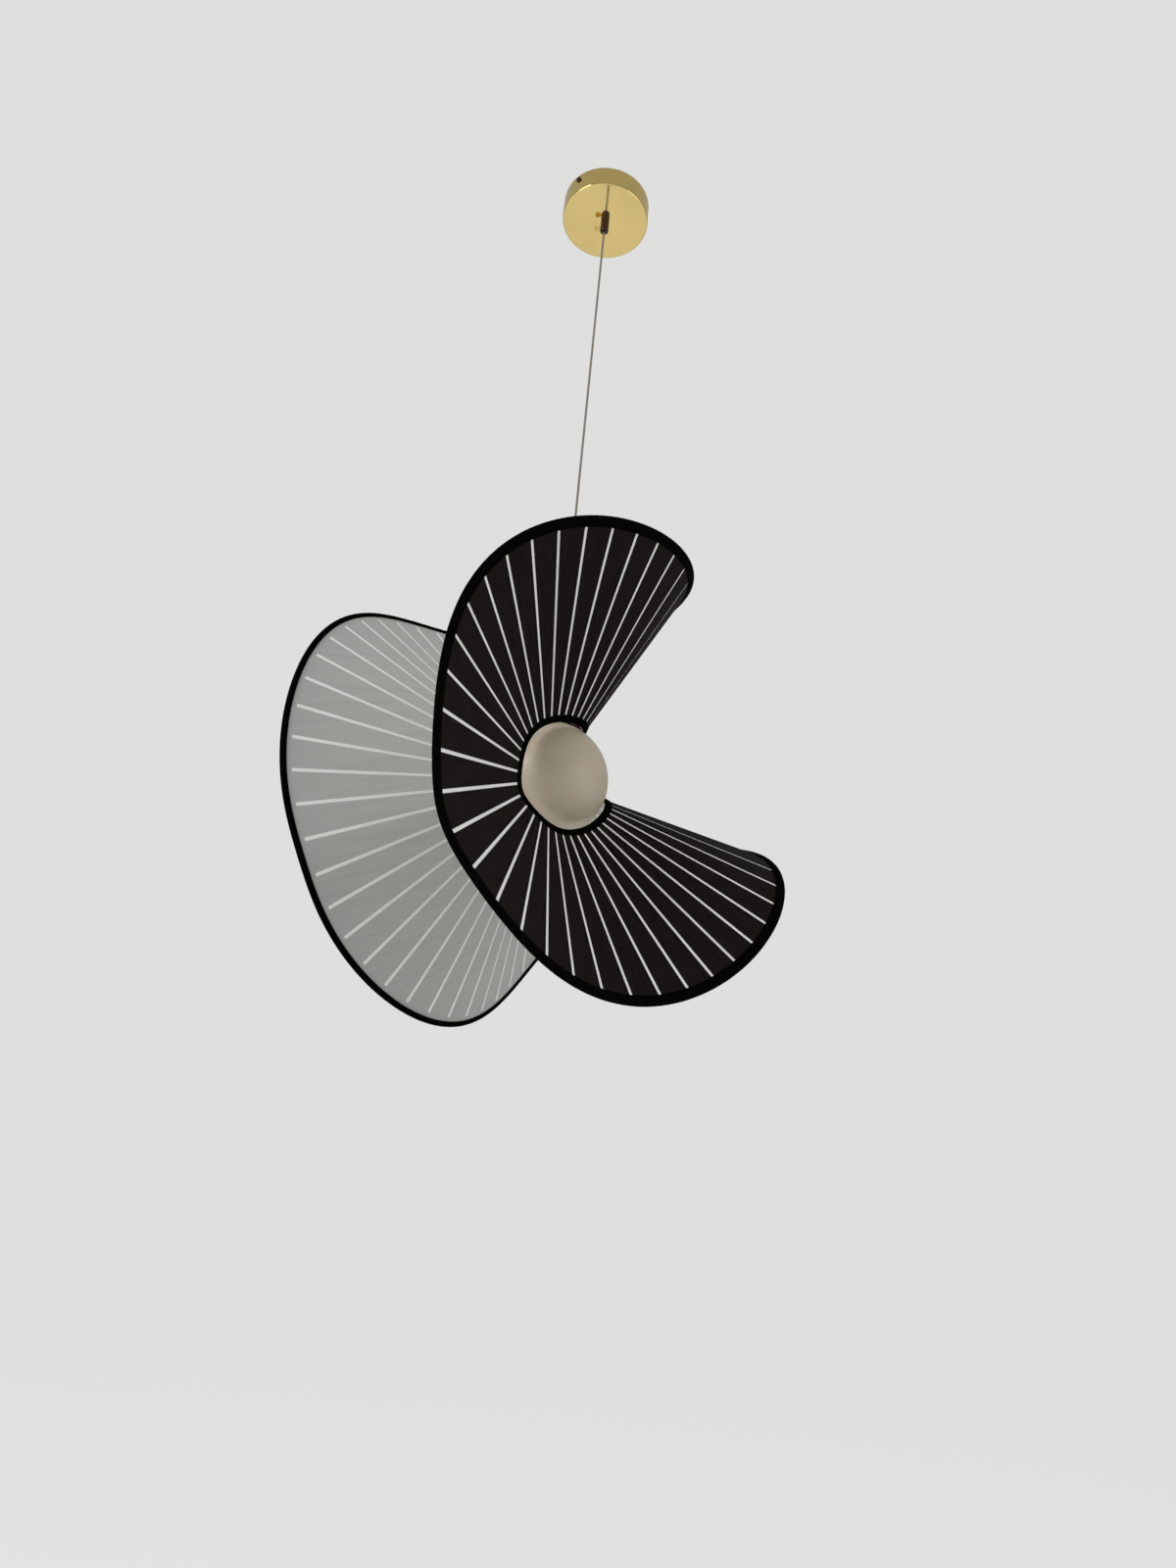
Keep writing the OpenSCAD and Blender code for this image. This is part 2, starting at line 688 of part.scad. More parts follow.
// Porcelain lampholder with two contact holes and two screw holes
module lampholder() {
    color(porcelain) at_globe() difference() {
        translate([0, 0, holder_z]) cylinder(d = holder_d, h = holder_l);
        for (s = [-1, 1]) {
            translate([0, s * pin_step / 2, holder_z - past])
                cylinder(d = pin_d + 4 * fit, h = pin_hole_l + past);
            translate([s * bridge_screw_x, 0, holder_top_z - bridge_screw_l])
                cylinder(d = m3, h = bridge_screw_l + past);
        }
    }
}

// Two leads from the cord's end to the top of the lampholder
module holder_leads() {
    color(cord_grey) at_globe() for (s = [-1, 1])
        let (y = s * pin_step / 2, start = s * lead_out)
            tube(bezier([[0, start, cap_cord_z - fit], [0, start, cap_cord_z - 3], [0, y, holder_top_z + 4],
                [0, y, holder_top_z + 2 * fit]], 8), lead_r, lead_sides);
}

// Plug-in bulb: its base
module bulb_base() {
    color(porcelain) at_globe() translate([0, 0, bulb_top_z - base_l]) cylinder(d = base_d, h = base_l);
}

// The bulb's two pins, up in the lampholder's contact holes
module bulb_pins() {
    color(steel) at_globe() for (s = [-1, 1])
        translate([0, s * pin_step / 2, bulb_top_z]) cylinder(d = pin_d, h = pin_l);
}

// Milky cover over the light source, round at its lower end
module bulb_cover() {
    bottom = bulb_top_z - bulb_l;
    color(opal) at_globe() {
        translate([0, 0, bottom + bulb_d / 2]) cylinder(d = bulb_d, h = bulb_l - base_l - bulb_d / 2);
        translate([0, 0, bottom + bulb_d / 2]) sphere(d = bulb_d);
    }
}

// Opal glass ball with a neck and a rolled lip
module globe() {
    color(opal) at_globe() difference() {
        union() {
            sphere(r = globe_r, $fn = 128);
            cylinder(r = neck_r, h = neck_top_z);
            translate([0, 0, neck_top_z - lip_t]) cylinder(r = lip_r, h = lip_t);
        }
        sphere(r = globe_r - glass_t, $fn = 128);
        cylinder(r = neck_in_r, h = neck_top_z + past);
    }
}

// Silicone ring between the glass lip and the cap's step
module globe_gasket() {
    color(porcelain) at_globe() translate([0, 0, neck_top_z]) difference() {
        cylinder(r = lip_r - gasket_inset, h = gasket_t);
        hole(2 * (neck_in_r + gasket_inset), gasket_t);
    }
}

// Three knurled screws that hold the globe by its lip
module globe_screws() {
    tip_x = neck_r + free_gap;
    head_x = skirt_r + set_head_gap;
    color(bronze) at_globe() for (a = [0 : 120 : 240])
        rotate([0, 0, a]) translate([0, 0, set_screw_z]) rotate([0, 90, 0]) {
            translate([0, 0, tip_x]) cylinder(d = set_screw_d - 2 * fit, h = head_x - tip_x);
            translate([0, 0, head_x]) cylinder(d = set_head_d, h = set_head_l);
        }
}

// Bronzed band riveted to the skirt, with an arm to each clamp plate on the inner hoop
module hoop_bracket() {
    color(bronze) at_globe() difference() {
        union() {
            rotate([0, 0, 180 - band_angle / 2]) rotate_extrude(angle = band_angle)
                translate([skirt_r + fit, band_z]) square([clamp_t, band_h]);
            for (s = [-1, 1]) {
                at_clamp(s) clamp_plate();
                bar(arm_start(s), arm_end(s), arm_w, arm_t);
            }
        }
        for (s = [-1, 1]) {
            at_clamp(s) clamp_hole();
            rotate([0, 0, 180 + s * rivet_angle]) translate([skirt_r, 0, band_z + band_h / 2])
                rotate([0, 90, 0]) hole(rivet_d, clamp_t);
        }
    }
}

// Ends of an arm, in the lamp head's axes: inside the band and inside the clamp plate
function arm_start(s) = let (a = 180 + s * (band_angle / 2 - arm_inset))
    [(skirt_r + clamp_t - fit) * cos(a), (skirt_r + clamp_t - fit) * sin(a), band_z + arm_w / 2];
function arm_end(s) = let (
        k = -rib_phase - s * clamp_rib,
        r = inner_hoop_r - clamp_half + arm_w / 2 + clamp_edge,
        v = cloth(k, r, -clamp_half - clamp_t / 2, 1))
    [v[0] * sin(tilt) - v[2] * cos(tilt), v[1], v[0] * cos(tilt) + v[2] * sin(tilt)];

// A flat bar from point a to point b
module bar(a, b, w, t) {
    v = b - a;
    translate(a) rotate([0, acos(v[2] / norm(v)), atan2(v[1], v[0])])
        translate([-w / 2, -t / 2, 0]) cube([w, t, norm(v)]);
}

// Clamp axes on either side of the hoop's nearest point, s is -1 or 1
module at_clamp(s) {
    rotate([0, tilt - 90, 0]) on_hoop(-rib_phase - s * clamp_rib) children();
}

// The bracket's own half of a clamp, on the white side
module clamp_plate() {
    translate([clamp_half, -clamp_w / 2, -clamp_half]) cube([clamp_t, clamp_w, clamp_l]);
}

// Cutter for a clamp's screw, through both halves
module clamp_hole() {
    translate([-clamp_l, 0, clamp_screw_out]) rotate([0, 90, 0]) cylinder(d = clamp_screw_d, h = 2 * clamp_l);
}

// Two rivets through the band and the skirt
module bracket_rivets() {
    color(bronze) at_globe() for (s = [-1, 1])
        rotate([0, 0, 180 + s * rivet_angle]) translate([0, 0, band_z + band_h / 2]) rotate([0, 90, 0]) {
            translate([0, 0, skirt_in_r]) cylinder(d = rivet_d - 2 * fit, h = sheet_t + clamp_t + 2 * fit);
            translate([0, 0, skirt_r + fit + clamp_t]) cylinder(d = 2 * rivet_d, h = rivet_head_t);
        }
}

// The clamps' inner halves: a foot under the hoop's binding and a plate on the black side
module hoop_clamps() {
    color(bronze) at_globe() for (s = [-1, 1]) at_clamp(s) difference() {
        union() {
            translate([-clamp_half - clamp_t, -clamp_w / 2, -clamp_half - clamp_t - fit])
                cube([2 * (clamp_half + clamp_t), clamp_w, clamp_t]);
            translate([-clamp_half - clamp_t, -clamp_w / 2, -clamp_half - clamp_t - fit])
                cube([clamp_t, clamp_w, clamp_l + clamp_t]);
        }
        clamp_hole();
    }
}

// Small screw and nut through each clamp, outside the hoop
module clamp_screws() {
    face = clamp_half + clamp_t;
    tip = face + clamp_head_t;
    color(steel) at_globe() for (s = [-1, 1]) at_clamp(s)
        translate([0, 0, clamp_screw_out]) rotate([0, 90, 0]) {
            translate([0, 0, -tip]) cylinder(d = clamp_screw_d - 2 * fit, h = 2 * tip);
            translate([0, 0, face]) cylinder(d = clamp_head_d, h = clamp_head_t);
            translate([0, 0, -tip]) cylinder(d = clamp_head_d, h = clamp_head_t, $fn = 6);
        }
}

// Round steel wire next to the globe, bent to the shade's closed curve
module inner_hoop() {
    color(steel) at_shade() ring_sweep(inner_hoop_r, 1, wire_outline(inner_wire_r));
}

// Black tape folded over the inner hoop and the cloth's inner edge
module inner_binding() {
    edge = inner_wire_r + tape_t;
    color(black_cloth) at_shade() ring_sweep(inner_hoop_r, 1,
        tape_outline(inner_wire_r, globe_border - edge, inner_white_hem - edge));
}

// Round steel wire along the rim
module outer_hoop() {
    color(steel) at_shade() ring_sweep(outer_hoop_r, -1, wire_outline(outer_wire_r));
}

// One length of the black tape folded over the rim, as long as a quarter of the liner
module outer_binding(quarter) {
    edge = outer_wire_r + tape_t;
    first = first_rib + quarter * per_quarter;
    color(black_cloth) at_shade() ring_sweep(outer_hoop_r, -1,
        tape_outline(outer_wire_r, rim_border - edge, white_hem - edge), first, first + per_quarter);
}

// One quarter of the white liner, cut flat as a sector of a ring
module liner(quarter) {
    first = first_rib + quarter * per_quarter;
    ks = [for (i = [0 : 2 * per_quarter]) first + i / 2];
    color(white_cloth) at_shade() cloth_plate(ks, ks, liner_under, -fit);
}

// The black strips sewn to that quarter, one between each two white lines
module black_strips(quarter) {
    first = first_rib + quarter * per_quarter;
    color(black_cloth) at_shade() for (k = [first : first + per_quarter - 1])
        let (a = half_line(cloth_in_r + lobe_at(k)), b = half_line(cloth_in_r + lobe_at(k + 1)),
            c = half_line(cloth_out_r))
            cloth_plate([k + a, k + 0.5, k + 1 - b], [k + c, k + 0.5, k + 1 - c], fit, strip_top);
}

module outer_binding_1() { outer_binding(0); }
module outer_binding_2() { outer_binding(1); }
module outer_binding_3() { outer_binding(2); }
module outer_binding_4() { outer_binding(3); }
module liner_1() { liner(0); }
module liner_2() { liner(1); }
module liner_3() { liner(2); }
module liner_4() { liner(3); }
module black_strips_1() { black_strips(0); }
module black_strips_2() { black_strips(1); }
module black_strips_3() { black_strips(2); }
module black_strips_4() { black_strips(3); }

ceiling_bracket();
earth_screw();
terminal_block();
terminal_screws();
block_screw();
canopy();
canopy_screws();
cord_grip();
grip_washer();
grip_nut();
grip_pad();
thumb_screw();
cord_stop();
cord_in_canopy();
canopy_leads();
cord_neck();
suspension_cord();
cap_gland();
gland_nut();
cord_in_cap();
holder_cap();
holder_bridge();
bridge_screws();
lampholder();
holder_leads();
bulb_base();
bulb_pins();
bulb_cover();
globe();
globe_gasket();
globe_screws();
hoop_bracket();
bracket_rivets();
hoop_clamps();
clamp_screws();
inner_hoop();
inner_binding();
outer_hoop();
outer_binding_1();
outer_binding_2();
outer_binding_3();
outer_binding_4();
liner_1();
liner_2();
liner_3();
liner_4();
black_strips_1();
black_strips_2();
black_strips_3();
black_strips_4();
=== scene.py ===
# %% [markdown]
# A pendant light with a saddle shaped shade
#
# The imported model is the frame of this lesson. Every node in it already lies at its real place and
# size, in metres, with the middle of the ceiling face at the origin and +Z up, and nothing in it is
# moved. The lesson adds what the eye sees: the cloth, its white lines and black borders, the cord,
# and a finish for every surface. The first cell loads the frame. The finished model has to stay
# inside it.

# %% Load the frame
import math

import bpy
import numpy as np
from mathutils import Matrix, Vector


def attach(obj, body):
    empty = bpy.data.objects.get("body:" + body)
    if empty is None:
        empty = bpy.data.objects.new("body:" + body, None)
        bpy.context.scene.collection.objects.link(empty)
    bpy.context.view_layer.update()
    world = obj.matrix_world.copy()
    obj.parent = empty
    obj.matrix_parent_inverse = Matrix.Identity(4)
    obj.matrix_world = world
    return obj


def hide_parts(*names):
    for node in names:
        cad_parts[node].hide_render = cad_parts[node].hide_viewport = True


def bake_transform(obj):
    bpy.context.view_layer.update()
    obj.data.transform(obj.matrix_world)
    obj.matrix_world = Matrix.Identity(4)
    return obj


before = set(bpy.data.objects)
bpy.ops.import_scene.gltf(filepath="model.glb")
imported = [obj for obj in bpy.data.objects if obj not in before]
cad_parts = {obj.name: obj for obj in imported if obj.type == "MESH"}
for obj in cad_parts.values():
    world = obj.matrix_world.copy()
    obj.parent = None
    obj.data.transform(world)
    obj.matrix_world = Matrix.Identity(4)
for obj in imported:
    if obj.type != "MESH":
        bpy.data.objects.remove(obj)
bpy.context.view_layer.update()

# %% [markdown]
# The camera
#
# The photograph was taken from below, with the camera a little crooked. A camera can be set by eye,
# or solved from points whose places are known: the canopy's ellipse, the straight cord, the globe
# and the ends of the white lines. It was solved here, because the shade's folds shift a lot with a
# small change of the eye. The angles are the camera's heading from +X, its rise and its roll.

# %% Camera
PHOTO_W, PHOTO_H = 1200, 1600
FOCAL_PIXELS = 1108.0
SENSOR_MM = 36.0
EYE = Vector((0.7275, 0.7013, -1.2894))
HEADING, RISE, ROLL = (math.radians(a) for a in (-138.31, 23.96, 4.81))

ahead = Vector((math.cos(RISE) * math.cos(HEADING), math.cos(RISE) * math.sin(HEADING), math.sin(RISE)))
level_right = ahead.cross(Vector((0, 0, 1))).normalized()
level_up = level_right.cross(ahead)
right = math.cos(ROLL) * level_right + math.sin(ROLL) * level_up
up = math.cos(ROLL) * level_up - math.sin(ROLL) * level_right

camera_data = bpy.data.cameras.new("photo_camera")
camera_data.sensor_width = SENSOR_MM
camera_data.lens = FOCAL_PIXELS * SENSOR_MM / PHOTO_H
camera = bpy.data.objects.new("photo_camera", camera_data)
bpy.context.scene.collection.objects.link(camera)
camera.matrix_world = Matrix.Translation(EYE) @ Matrix((right, up, -ahead)).transposed().to_4x4()
bpy.context.scene.camera = camera


def pixel_of(point):
    """Where a point of the row frame lands in the photograph, in its pixels."""
    away = Vector(point) - EYE
    depth = away.dot(ahead)
    return (round(PHOTO_W / 2 + FOCAL_PIXELS * away.dot(right) / depth),
            round(PHOTO_H / 2 - FOCAL_PIXELS * away.dot(up) / depth))


print("lens", round(camera_data.lens, 2), "mm, canopy at", pixel_of((0, 0, -0.03)))

# %% [markdown]
# Meshes from lists of points
#
# Most pieces here follow a formula, so each one is worked out as a grid of points and handed to
# Blender as a mesh. One helper makes the object, smooths its shading, gives it its finish, and lets
# it ride on its body. A flat map in metres can go with it, so that a weave or a grain can follow
# the cloth.

# %% Helpers for meshes
MM = 0.001


def add_piece(name, points, faces, finishes, body, cut_map=None, face_finish=None):
    """A smooth mesh piece on a body. cut_map gives each point's place on the flat cloth, in metres."""
    mesh = bpy.data.meshes.new(name)
    mesh.from_pydata(np.asarray(points, float).tolist(), [], [tuple(f) for f in faces])
    mesh.polygons.foreach_set("use_smooth", np.ones(len(mesh.polygons), bool))
    for finish in finishes:
        mesh.materials.append(finish)
    if face_finish is not None:
        mesh.polygons.foreach_set("material_index", np.asarray(face_finish, np.int32))
    if cut_map is not None:
        corner = np.zeros(len(mesh.loops), np.int32)
        mesh.loops.foreach_get("vertex_index", corner)
        mesh.uv_layers.new(name="cut")
        mesh.uv_layers["cut"].data.foreach_set("uv", np.asarray(cut_map, np.float32)[corner].ravel())
    mesh.update()
    piece = bpy.data.objects.new(name, mesh)
    bpy.context.scene.collection.objects.link(piece)
    if body:
        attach(piece, body)
    return piece


def grid_faces(rows, columns, close_rows=False, close_columns=False):
    """The quads of a grid of points, numbered row by row."""
    r = np.arange(rows if close_rows else rows - 1)
    c = np.arange(columns if close_columns else columns - 1)
    a = (r[:, None] * columns + c[None, :]).ravel()
    b = (r[:, None] * columns + (c[None, :] + 1) % columns).ravel()
    next_row = ((r[:, None] + 1) % rows) * columns
    d = (next_row + c[None, :]).ravel()
    e = (next_row + (c[None, :] + 1) % columns).ravel()
    return np.stack([a, b, e, d], axis=1)


# %% [markdown]
# Finishes
#
# Every finish starts from the same shader, with its plain numbers on the shader's own sockets. What
# varies over the surface comes from nodes: noise for smudges and tone, waves for a weave. Two small
# helpers add a node with its settings, and turn a grey pattern into a bump.

# %% Helpers for finishes
PATTERN_LOW, PATTERN_HIGH = 0.3, 0.7


def new_finish(name, colour, roughness, metallic=0.0, **sockets):
    """A material whose shader has these plain values. More sockets go by their names with _ for a space."""
    material = bpy.data.materials.new(name)
    material.use_nodes = True
    shader = material.node_tree.nodes["Principled BSDF"]
    shader.inputs["Base Color"].default_value = (*colour, 1)
    shader.inputs["Roughness"].default_value = roughness
    shader.inputs["Metallic"].default_value = metallic
    for socket, value in sockets.items():
        shader.inputs[socket.replace("_", " ")].default_value = value
    return material


def node(material, kind, inputs=None, **settings):
    """Adds a node. inputs maps a socket's name or number to a value or to another node's socket."""
    made = material.node_tree.nodes.new(kind)
    for key, value in settings.items():
        setattr(made, key, value)
    for key, value in (inputs or {}).items():
        if isinstance(value, bpy.types.NodeSocket):
            material.node_tree.links.new(value, made.inputs[key])
        else:
            made.inputs[key].default_value = value
    return made


def to_shader(material, socket, source):
    material.node_tree.links.new(source, material.node_tree.nodes["Principled BSDF"].inputs[socket])


def own_place(material, stretch=(1, 1, 1)):
    """The point's own place on its object, in metres, stretched."""
    place = node(material, "ShaderNodeTexCoord").outputs["Object"]
    return node(material, "ShaderNodeMapping", {"Vector": place, "Scale": stretch}).outputs["Vector"]


def cloth_place(material, stretch=(1, 1, 1)):
    """The point's place on the flat cloth, in metres, stretched. X runs across a strip, Y along it."""
    place = node(material, "ShaderNodeUVMap", uv_map="cut").outputs["UV"]
    return node(material, "ShaderNodeMapping", {"Vector": place, "Scale": stretch}).outputs["Vector"]


def noise(material, place, scale, detail=3.0, roughness=0.5):
    return node(material, "ShaderNodeTexNoise",
                {"Vector": place, "Scale": scale, "Detail": detail, "Roughness": roughness}).outputs["Fac"]


def spread(material, value, low, high):
    """A grey pattern, which mostly keeps between the two pattern values, spread over low to high."""
    spans = {"Value": value, "From Min": PATTERN_LOW, "From Max": PATTERN_HIGH, "To Min": low, "To Max": high}
    return node(material, "ShaderNodeMapRange", spans).outputs["Result"]


def tones(material, value, dark, light):
    """Two tones of one colour, by a grey pattern, into the shader's colour."""
    ramp = node(material, "ShaderNodeValToRGB", {"Fac": value})
    ramp.color_ramp.elements[0].position = PATTERN_LOW
    ramp.color_ramp.elements[1].position = PATTERN_HIGH
    ramp.color_ramp.elements[0].color = (*dark, 1)
    ramp.color_ramp.elements[1].color = (*light, 1)
    to_shader(material, "Base Color", ramp.outputs["Color"])


def bump(material, height, metres, strength=1.0, under=None):
    """Raises the surface by a grey pattern. under is the normal of a coarser bump below it."""
    inputs = {"Height": height, "Distance": metres, "Strength": strength}
    if under is not None:
        inputs["Normal"] = under
    made = node(material, "ShaderNodeBump", inputs).outputs["Normal"]
    to_shader(material, "Normal", made)
    return made


def waves(material, place, scale, direction):
    """Soft bands across a direction, a little uneven, as threads are."""
    uneven = {"Vector": place, "Scale": scale, "Distortion": 0.6, "Detail": 1.0, "Detail Scale": 0.5}
    return node(material, "ShaderNodeTexWave", uneven, wave_type="BANDS", bands_direction=direction,
                wave_profile="SIN").outputs["Fac"]


# %% [markdown]
# The cord
#
# One thin grey cord holds the lamp, from the grip below the canopy down to the gland on the lamp
# head. It could be a curve with a bevel. A mesh tube is used, because the cord bends at the grip's
# mouth when the lamp swings, and only a mesh can be blended between two bodies. The lamp's weight
# keeps it straight. Its jacket is a smooth sleeve with a faint twist of the cores below it.

# %% Cord
GRIP_TIP_Z = -0.048
GLAND_TOP_Z = -0.7366
CORD_D = 0.0026
HELD = 0.001
CORD_RINGS, CORD_SIDES = 240, 16
JACKET, JACKET_DARK, JACKET_LIGHT = (0.17, 0.15, 0.125), (0.14, 0.122, 0.10), (0.205, 0.182, 0.155)
JACKET_ROUGHNESS, SMUDGE_SCALE = 0.55, 220
TWIST_SCALE, TWIST_STRETCH, TWIST_H = 900, (1, 1, 0.35), 0.08 * MM

cord_finish = new_finish("cord_jacket", JACKET, JACKET_ROUGHNESS)
twisted = node(cord_finish, "ShaderNodeTexWave",
               {"Vector": own_place(cord_finish, TWIST_STRETCH), "Scale": TWIST_SCALE, "Distortion": 0.0},
               wave_type="BANDS", bands_direction="DIAGONAL").outputs["Fac"]
bump(cord_finish, twisted, TWIST_H, strength=0.5)
jacket_smudges = noise(cord_finish, own_place(cord_finish), SMUDGE_SCALE, detail=4)
tones(cord_finish, jacket_smudges, JACKET_DARK, JACKET_LIGHT)

cord_z = np.linspace(GRIP_TIP_Z + HELD, GLAND_TOP_Z - HELD, CORD_RINGS)
around_cord = np.arange(CORD_SIDES) * 2 * math.pi / CORD_SIDES
cord_points = [(CORD_D / 2 * math.cos(a), CORD_D / 2 * math.sin(a), z) for z in cord_z for a in around_cord]
cord_faces = [f[::-1] for f in grid_faces(CORD_RINGS, CORD_SIDES, close_columns=True).tolist()]
cord_faces.append(tuple(range(CORD_SIDES)))
cord_faces.append(tuple(reversed(range((CORD_RINGS - 1) * CORD_SIDES, CORD_RINGS * CORD_SIDES))))
cord = add_piece("hanging_cord", cord_points, cord_faces, [cord_finish], None)
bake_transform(cord)
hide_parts("suspension_cord", "cord_neck")

# %% [markdown]
# The form of the shade
#
# On the real lamp two bent wire hoops pull a sleeve of cloth tight: a small one close round the
# globe and a large one at the rim. Both follow the same closed curve, which rises and falls four
# times on its way round, and the cloth runs straight from one to the other. So a single straight
# ray from the globe's centre, carried once round the curve, makes the whole surface, and the white
# lines are 84 of its positions. The curve could be traced through measured points. A formula is
# used, in degrees, because it stays smooth and closes by itself. The lines stand at equal steps
# of length along the curve, not at equal angles, as equal strips of cloth leave them. The small hoop
# doesn't keep to one distance from the globe: at two lobes it stands farther out.

# %% Rays, lines and the cloth's two sides
GLOBE_CENTRE = np.array([0, 0, -0.84])
SHADE_TIP = math.radians(57)
LIFTS = (-3.5, 64.5, -2.0)
TURNS = (-10.5, 22.0)
LINES = 84
FIRST_LINE = 0.4
CURVE_STEPS = 7200
LOBE_OUT, LOBE_POWER = 0.021, 8
NEAR = 0.05


def ray_at(t):
    """Direction of the cloth at t degrees round the curve, from the globe's centre."""
    lift = LIFTS[0] + LIFTS[1] * np.cos(np.radians(2 * t)) + LIFTS[2] * np.cos(np.radians(4 * t))
    turn = t + TURNS[0] * np.sin(np.radians(2 * t)) + TURNS[1] * np.sin(np.radians(4 * t))
    lift, turn = np.radians(lift), np.radians(turn)
    return np.stack([np.cos(lift) * np.cos(turn), np.cos(lift) * np.sin(turn), np.sin(lift)], axis=-1)


curve_t = np.linspace(0, 360, CURVE_STEPS + 1)
curve_step = np.linalg.norm(np.diff(ray_at(curve_t), axis=0), axis=1)
walked = np.concatenate([[0], np.cumsum(curve_step)])
CURVE_LENGTH = walked[-1]
LINE_ANGLE = CURVE_LENGTH / LINES


def curve_angle(k):
    """How many degrees round the curve line k stands."""
    along = ((np.asarray(k, float) + FIRST_LINE) * LINE_ANGLE) % CURVE_LENGTH
    return np.interp(along, walked, curve_t)


def line_ray(k):
    """Direction of line k. Between whole numbers it runs through the strips."""
    return ray_at(curve_angle(k))


def lobe(k):
    """How much farther out than elsewhere the inner hoop stands at line k."""
    return LOBE_OUT * np.sin(np.radians(curve_angle(k))) ** LOBE_POWER


def black_side(k):
    """Which way the cloth's black side faces along line k."""
    k = np.asarray(k, float)
    normal = np.cross(line_ray(k), line_ray(k + NEAR) - line_ray(k - NEAR))
    return normal / np.linalg.norm(normal, axis=-1, keepdims=True)


def turned(ways):
    """From the shade's own axes to the row's, for directions."""
    x, y, z = np.moveaxis(np.asarray(ways, float), -1, 0)
    c, s = math.cos(SHADE_TIP), math.sin(SHADE_TIP)
    return np.stack([x * c - z * s, y, x * s + z * c], axis=-1)


def on_cloth(k, radius, height):
    """The point at line k, radius from the globe's centre and height towards the black side."""
    k, radius, height = np.broadcast_arrays(np.asarray(k, float), radius, height)
    return GLOBE_CENTRE + turned(line_ray(k) * radius[..., None] + black_side(k) * height[..., None])


print("curve", round(float(CURVE_LENGTH), 3), "radii long, a line every",
      round(math.degrees(LINE_ANGLE), 2), "deg")

# %% [markdown]
# Radii along a white line
#
# From the globe outwards come the inner hoop with its tape, the cloth, and the rim's hoop with its
# tape. Both faces of the cloth are one piece of fabric each, so all radii are kept together here.
# The white lines are about 1 mm wider at the rim than at the globe, and the straight sided strips
# between them are cut to leave that.

# %% Radii, heights and widths
CLOTH_IN, CLOTH_OUT = 66.6 * MM, 265.1 * MM
TAPE_IN_BLACK, TAPE_IN_WHITE = 70.7 * MM, 67.7 * MM
TAPE_OUT_BLACK, TAPE_OUT_WHITE = 259.5 * MM, 264.0 * MM
INNER_HOOP, OUTER_HOOP = 65.0 * MM, 267.2 * MM
INNER_WIRE, OUTER_WIRE = 1.5 * MM, 2.0 * MM
LINE_IN, LINE_OUT = 2.4 * MM, 3.5 * MM
CLOTH_GAP = 0.05 * MM
LINER_BACK = -0.55 * MM
PIECES = 4
LINES_PER_PIECE = LINES // PIECES
FIRST_OF_PIECES = -10


def half_line(radius):
    """Half a white line's width at a radius, as a share of the lines' pitch."""
    width = LINE_IN + (LINE_OUT - LINE_IN) * (radius - CLOTH_IN) / (CLOTH_OUT - CLOTH_IN)
    return width / 2 / radius / LINE_ANGLE


print("cloth", round((CLOTH_OUT - CLOTH_IN) * 1000, 1), "mm deep, a line is",
      round(100 * 2 * half_line(CLOTH_OUT), 1), "% of the pitch at the rim")

# %% [markdown]
# Cloth finishes
#
# The shade is two layers: a thin white liner, and black strips sewn over it with a narrow gap
# between each two, so the liner shows as white lines. Seen from the white side, the liner looks grey
# where black cloth lies behind it, and only the gaps stay white, as light comes through them. That
# could be left to translucent cloth and strong lights. Here the grey is painted shade: a second,
# darker finish on the same piece, so it shows in any light, with a clean edge between them. All the
# cloth has a fine weave, a soft sheen at grazing angles, and streaks along the lines, the way it is
# pulled. A wave texture repeats about 3.2 times in a metre for each unit of its scale, so the weave
# has about 1300 threads in a metre.

# %% Cloth finishes
WEAVE_SCALE, WEAVE_H, WEAVE_STRENGTH = 414.0127, 0.12 * MM, 0.35
WRINKLE_SCALE, WRINKLE_H, WRINKLE_STRENGTH = 60, 0.6 * MM, 0.35
STREAK_STRETCH, WRINKLE_STRETCH = (1, 0.05, 1), (1, 0.25, 1)
SHEEN_SPREAD, GLOSS_SHIFT = 0.35, 0.06


def weave_of(finish, height, strength):
    """Warp and weft as two sets of waves, multiplied, and raised as a bump."""
    warp = waves(finish, cloth_place(finish), WEAVE_SCALE, "X")
    weft = waves(finish, cloth_place(finish), WEAVE_SCALE, "Y")
    crossed = node(finish, "ShaderNodeMath", {0: warp, 1: weft}, operation="MULTIPLY").outputs[0]
    return bump(finish, crossed, height, strength)


def streaked_cloth(name, dark, light, roughness, gloss, sheen, streak):
    """Cloth with streaks along its strips, a weave, and fine wrinkles under both."""
    finish = new_finish(name, light, roughness, Specular_IOR_Level=gloss, Sheen_Weight=sheen,
                        Sheen_Roughness=SHEEN_SPREAD)
    along = noise(finish, cloth_place(finish, STREAK_STRETCH), streak, detail=5, roughness=0.6)
    tones(finish, along, dark, light)
    wrinkles = noise(finish, cloth_place(finish, WRINKLE_STRETCH), WRINKLE_SCALE)
    coarse = bump(finish, wrinkles, WRINKLE_H, WRINKLE_STRENGTH)
    weave_normal = weave_of(finish, WEAVE_H, WEAVE_STRENGTH)
    finish.node_tree.links.new(coarse, weave_normal.node.inputs["Normal"])
    to_shader(finish, "Roughness", spread(finish, along, roughness - GLOSS_SHIFT, roughness + GLOSS_SHIFT))
    return finish


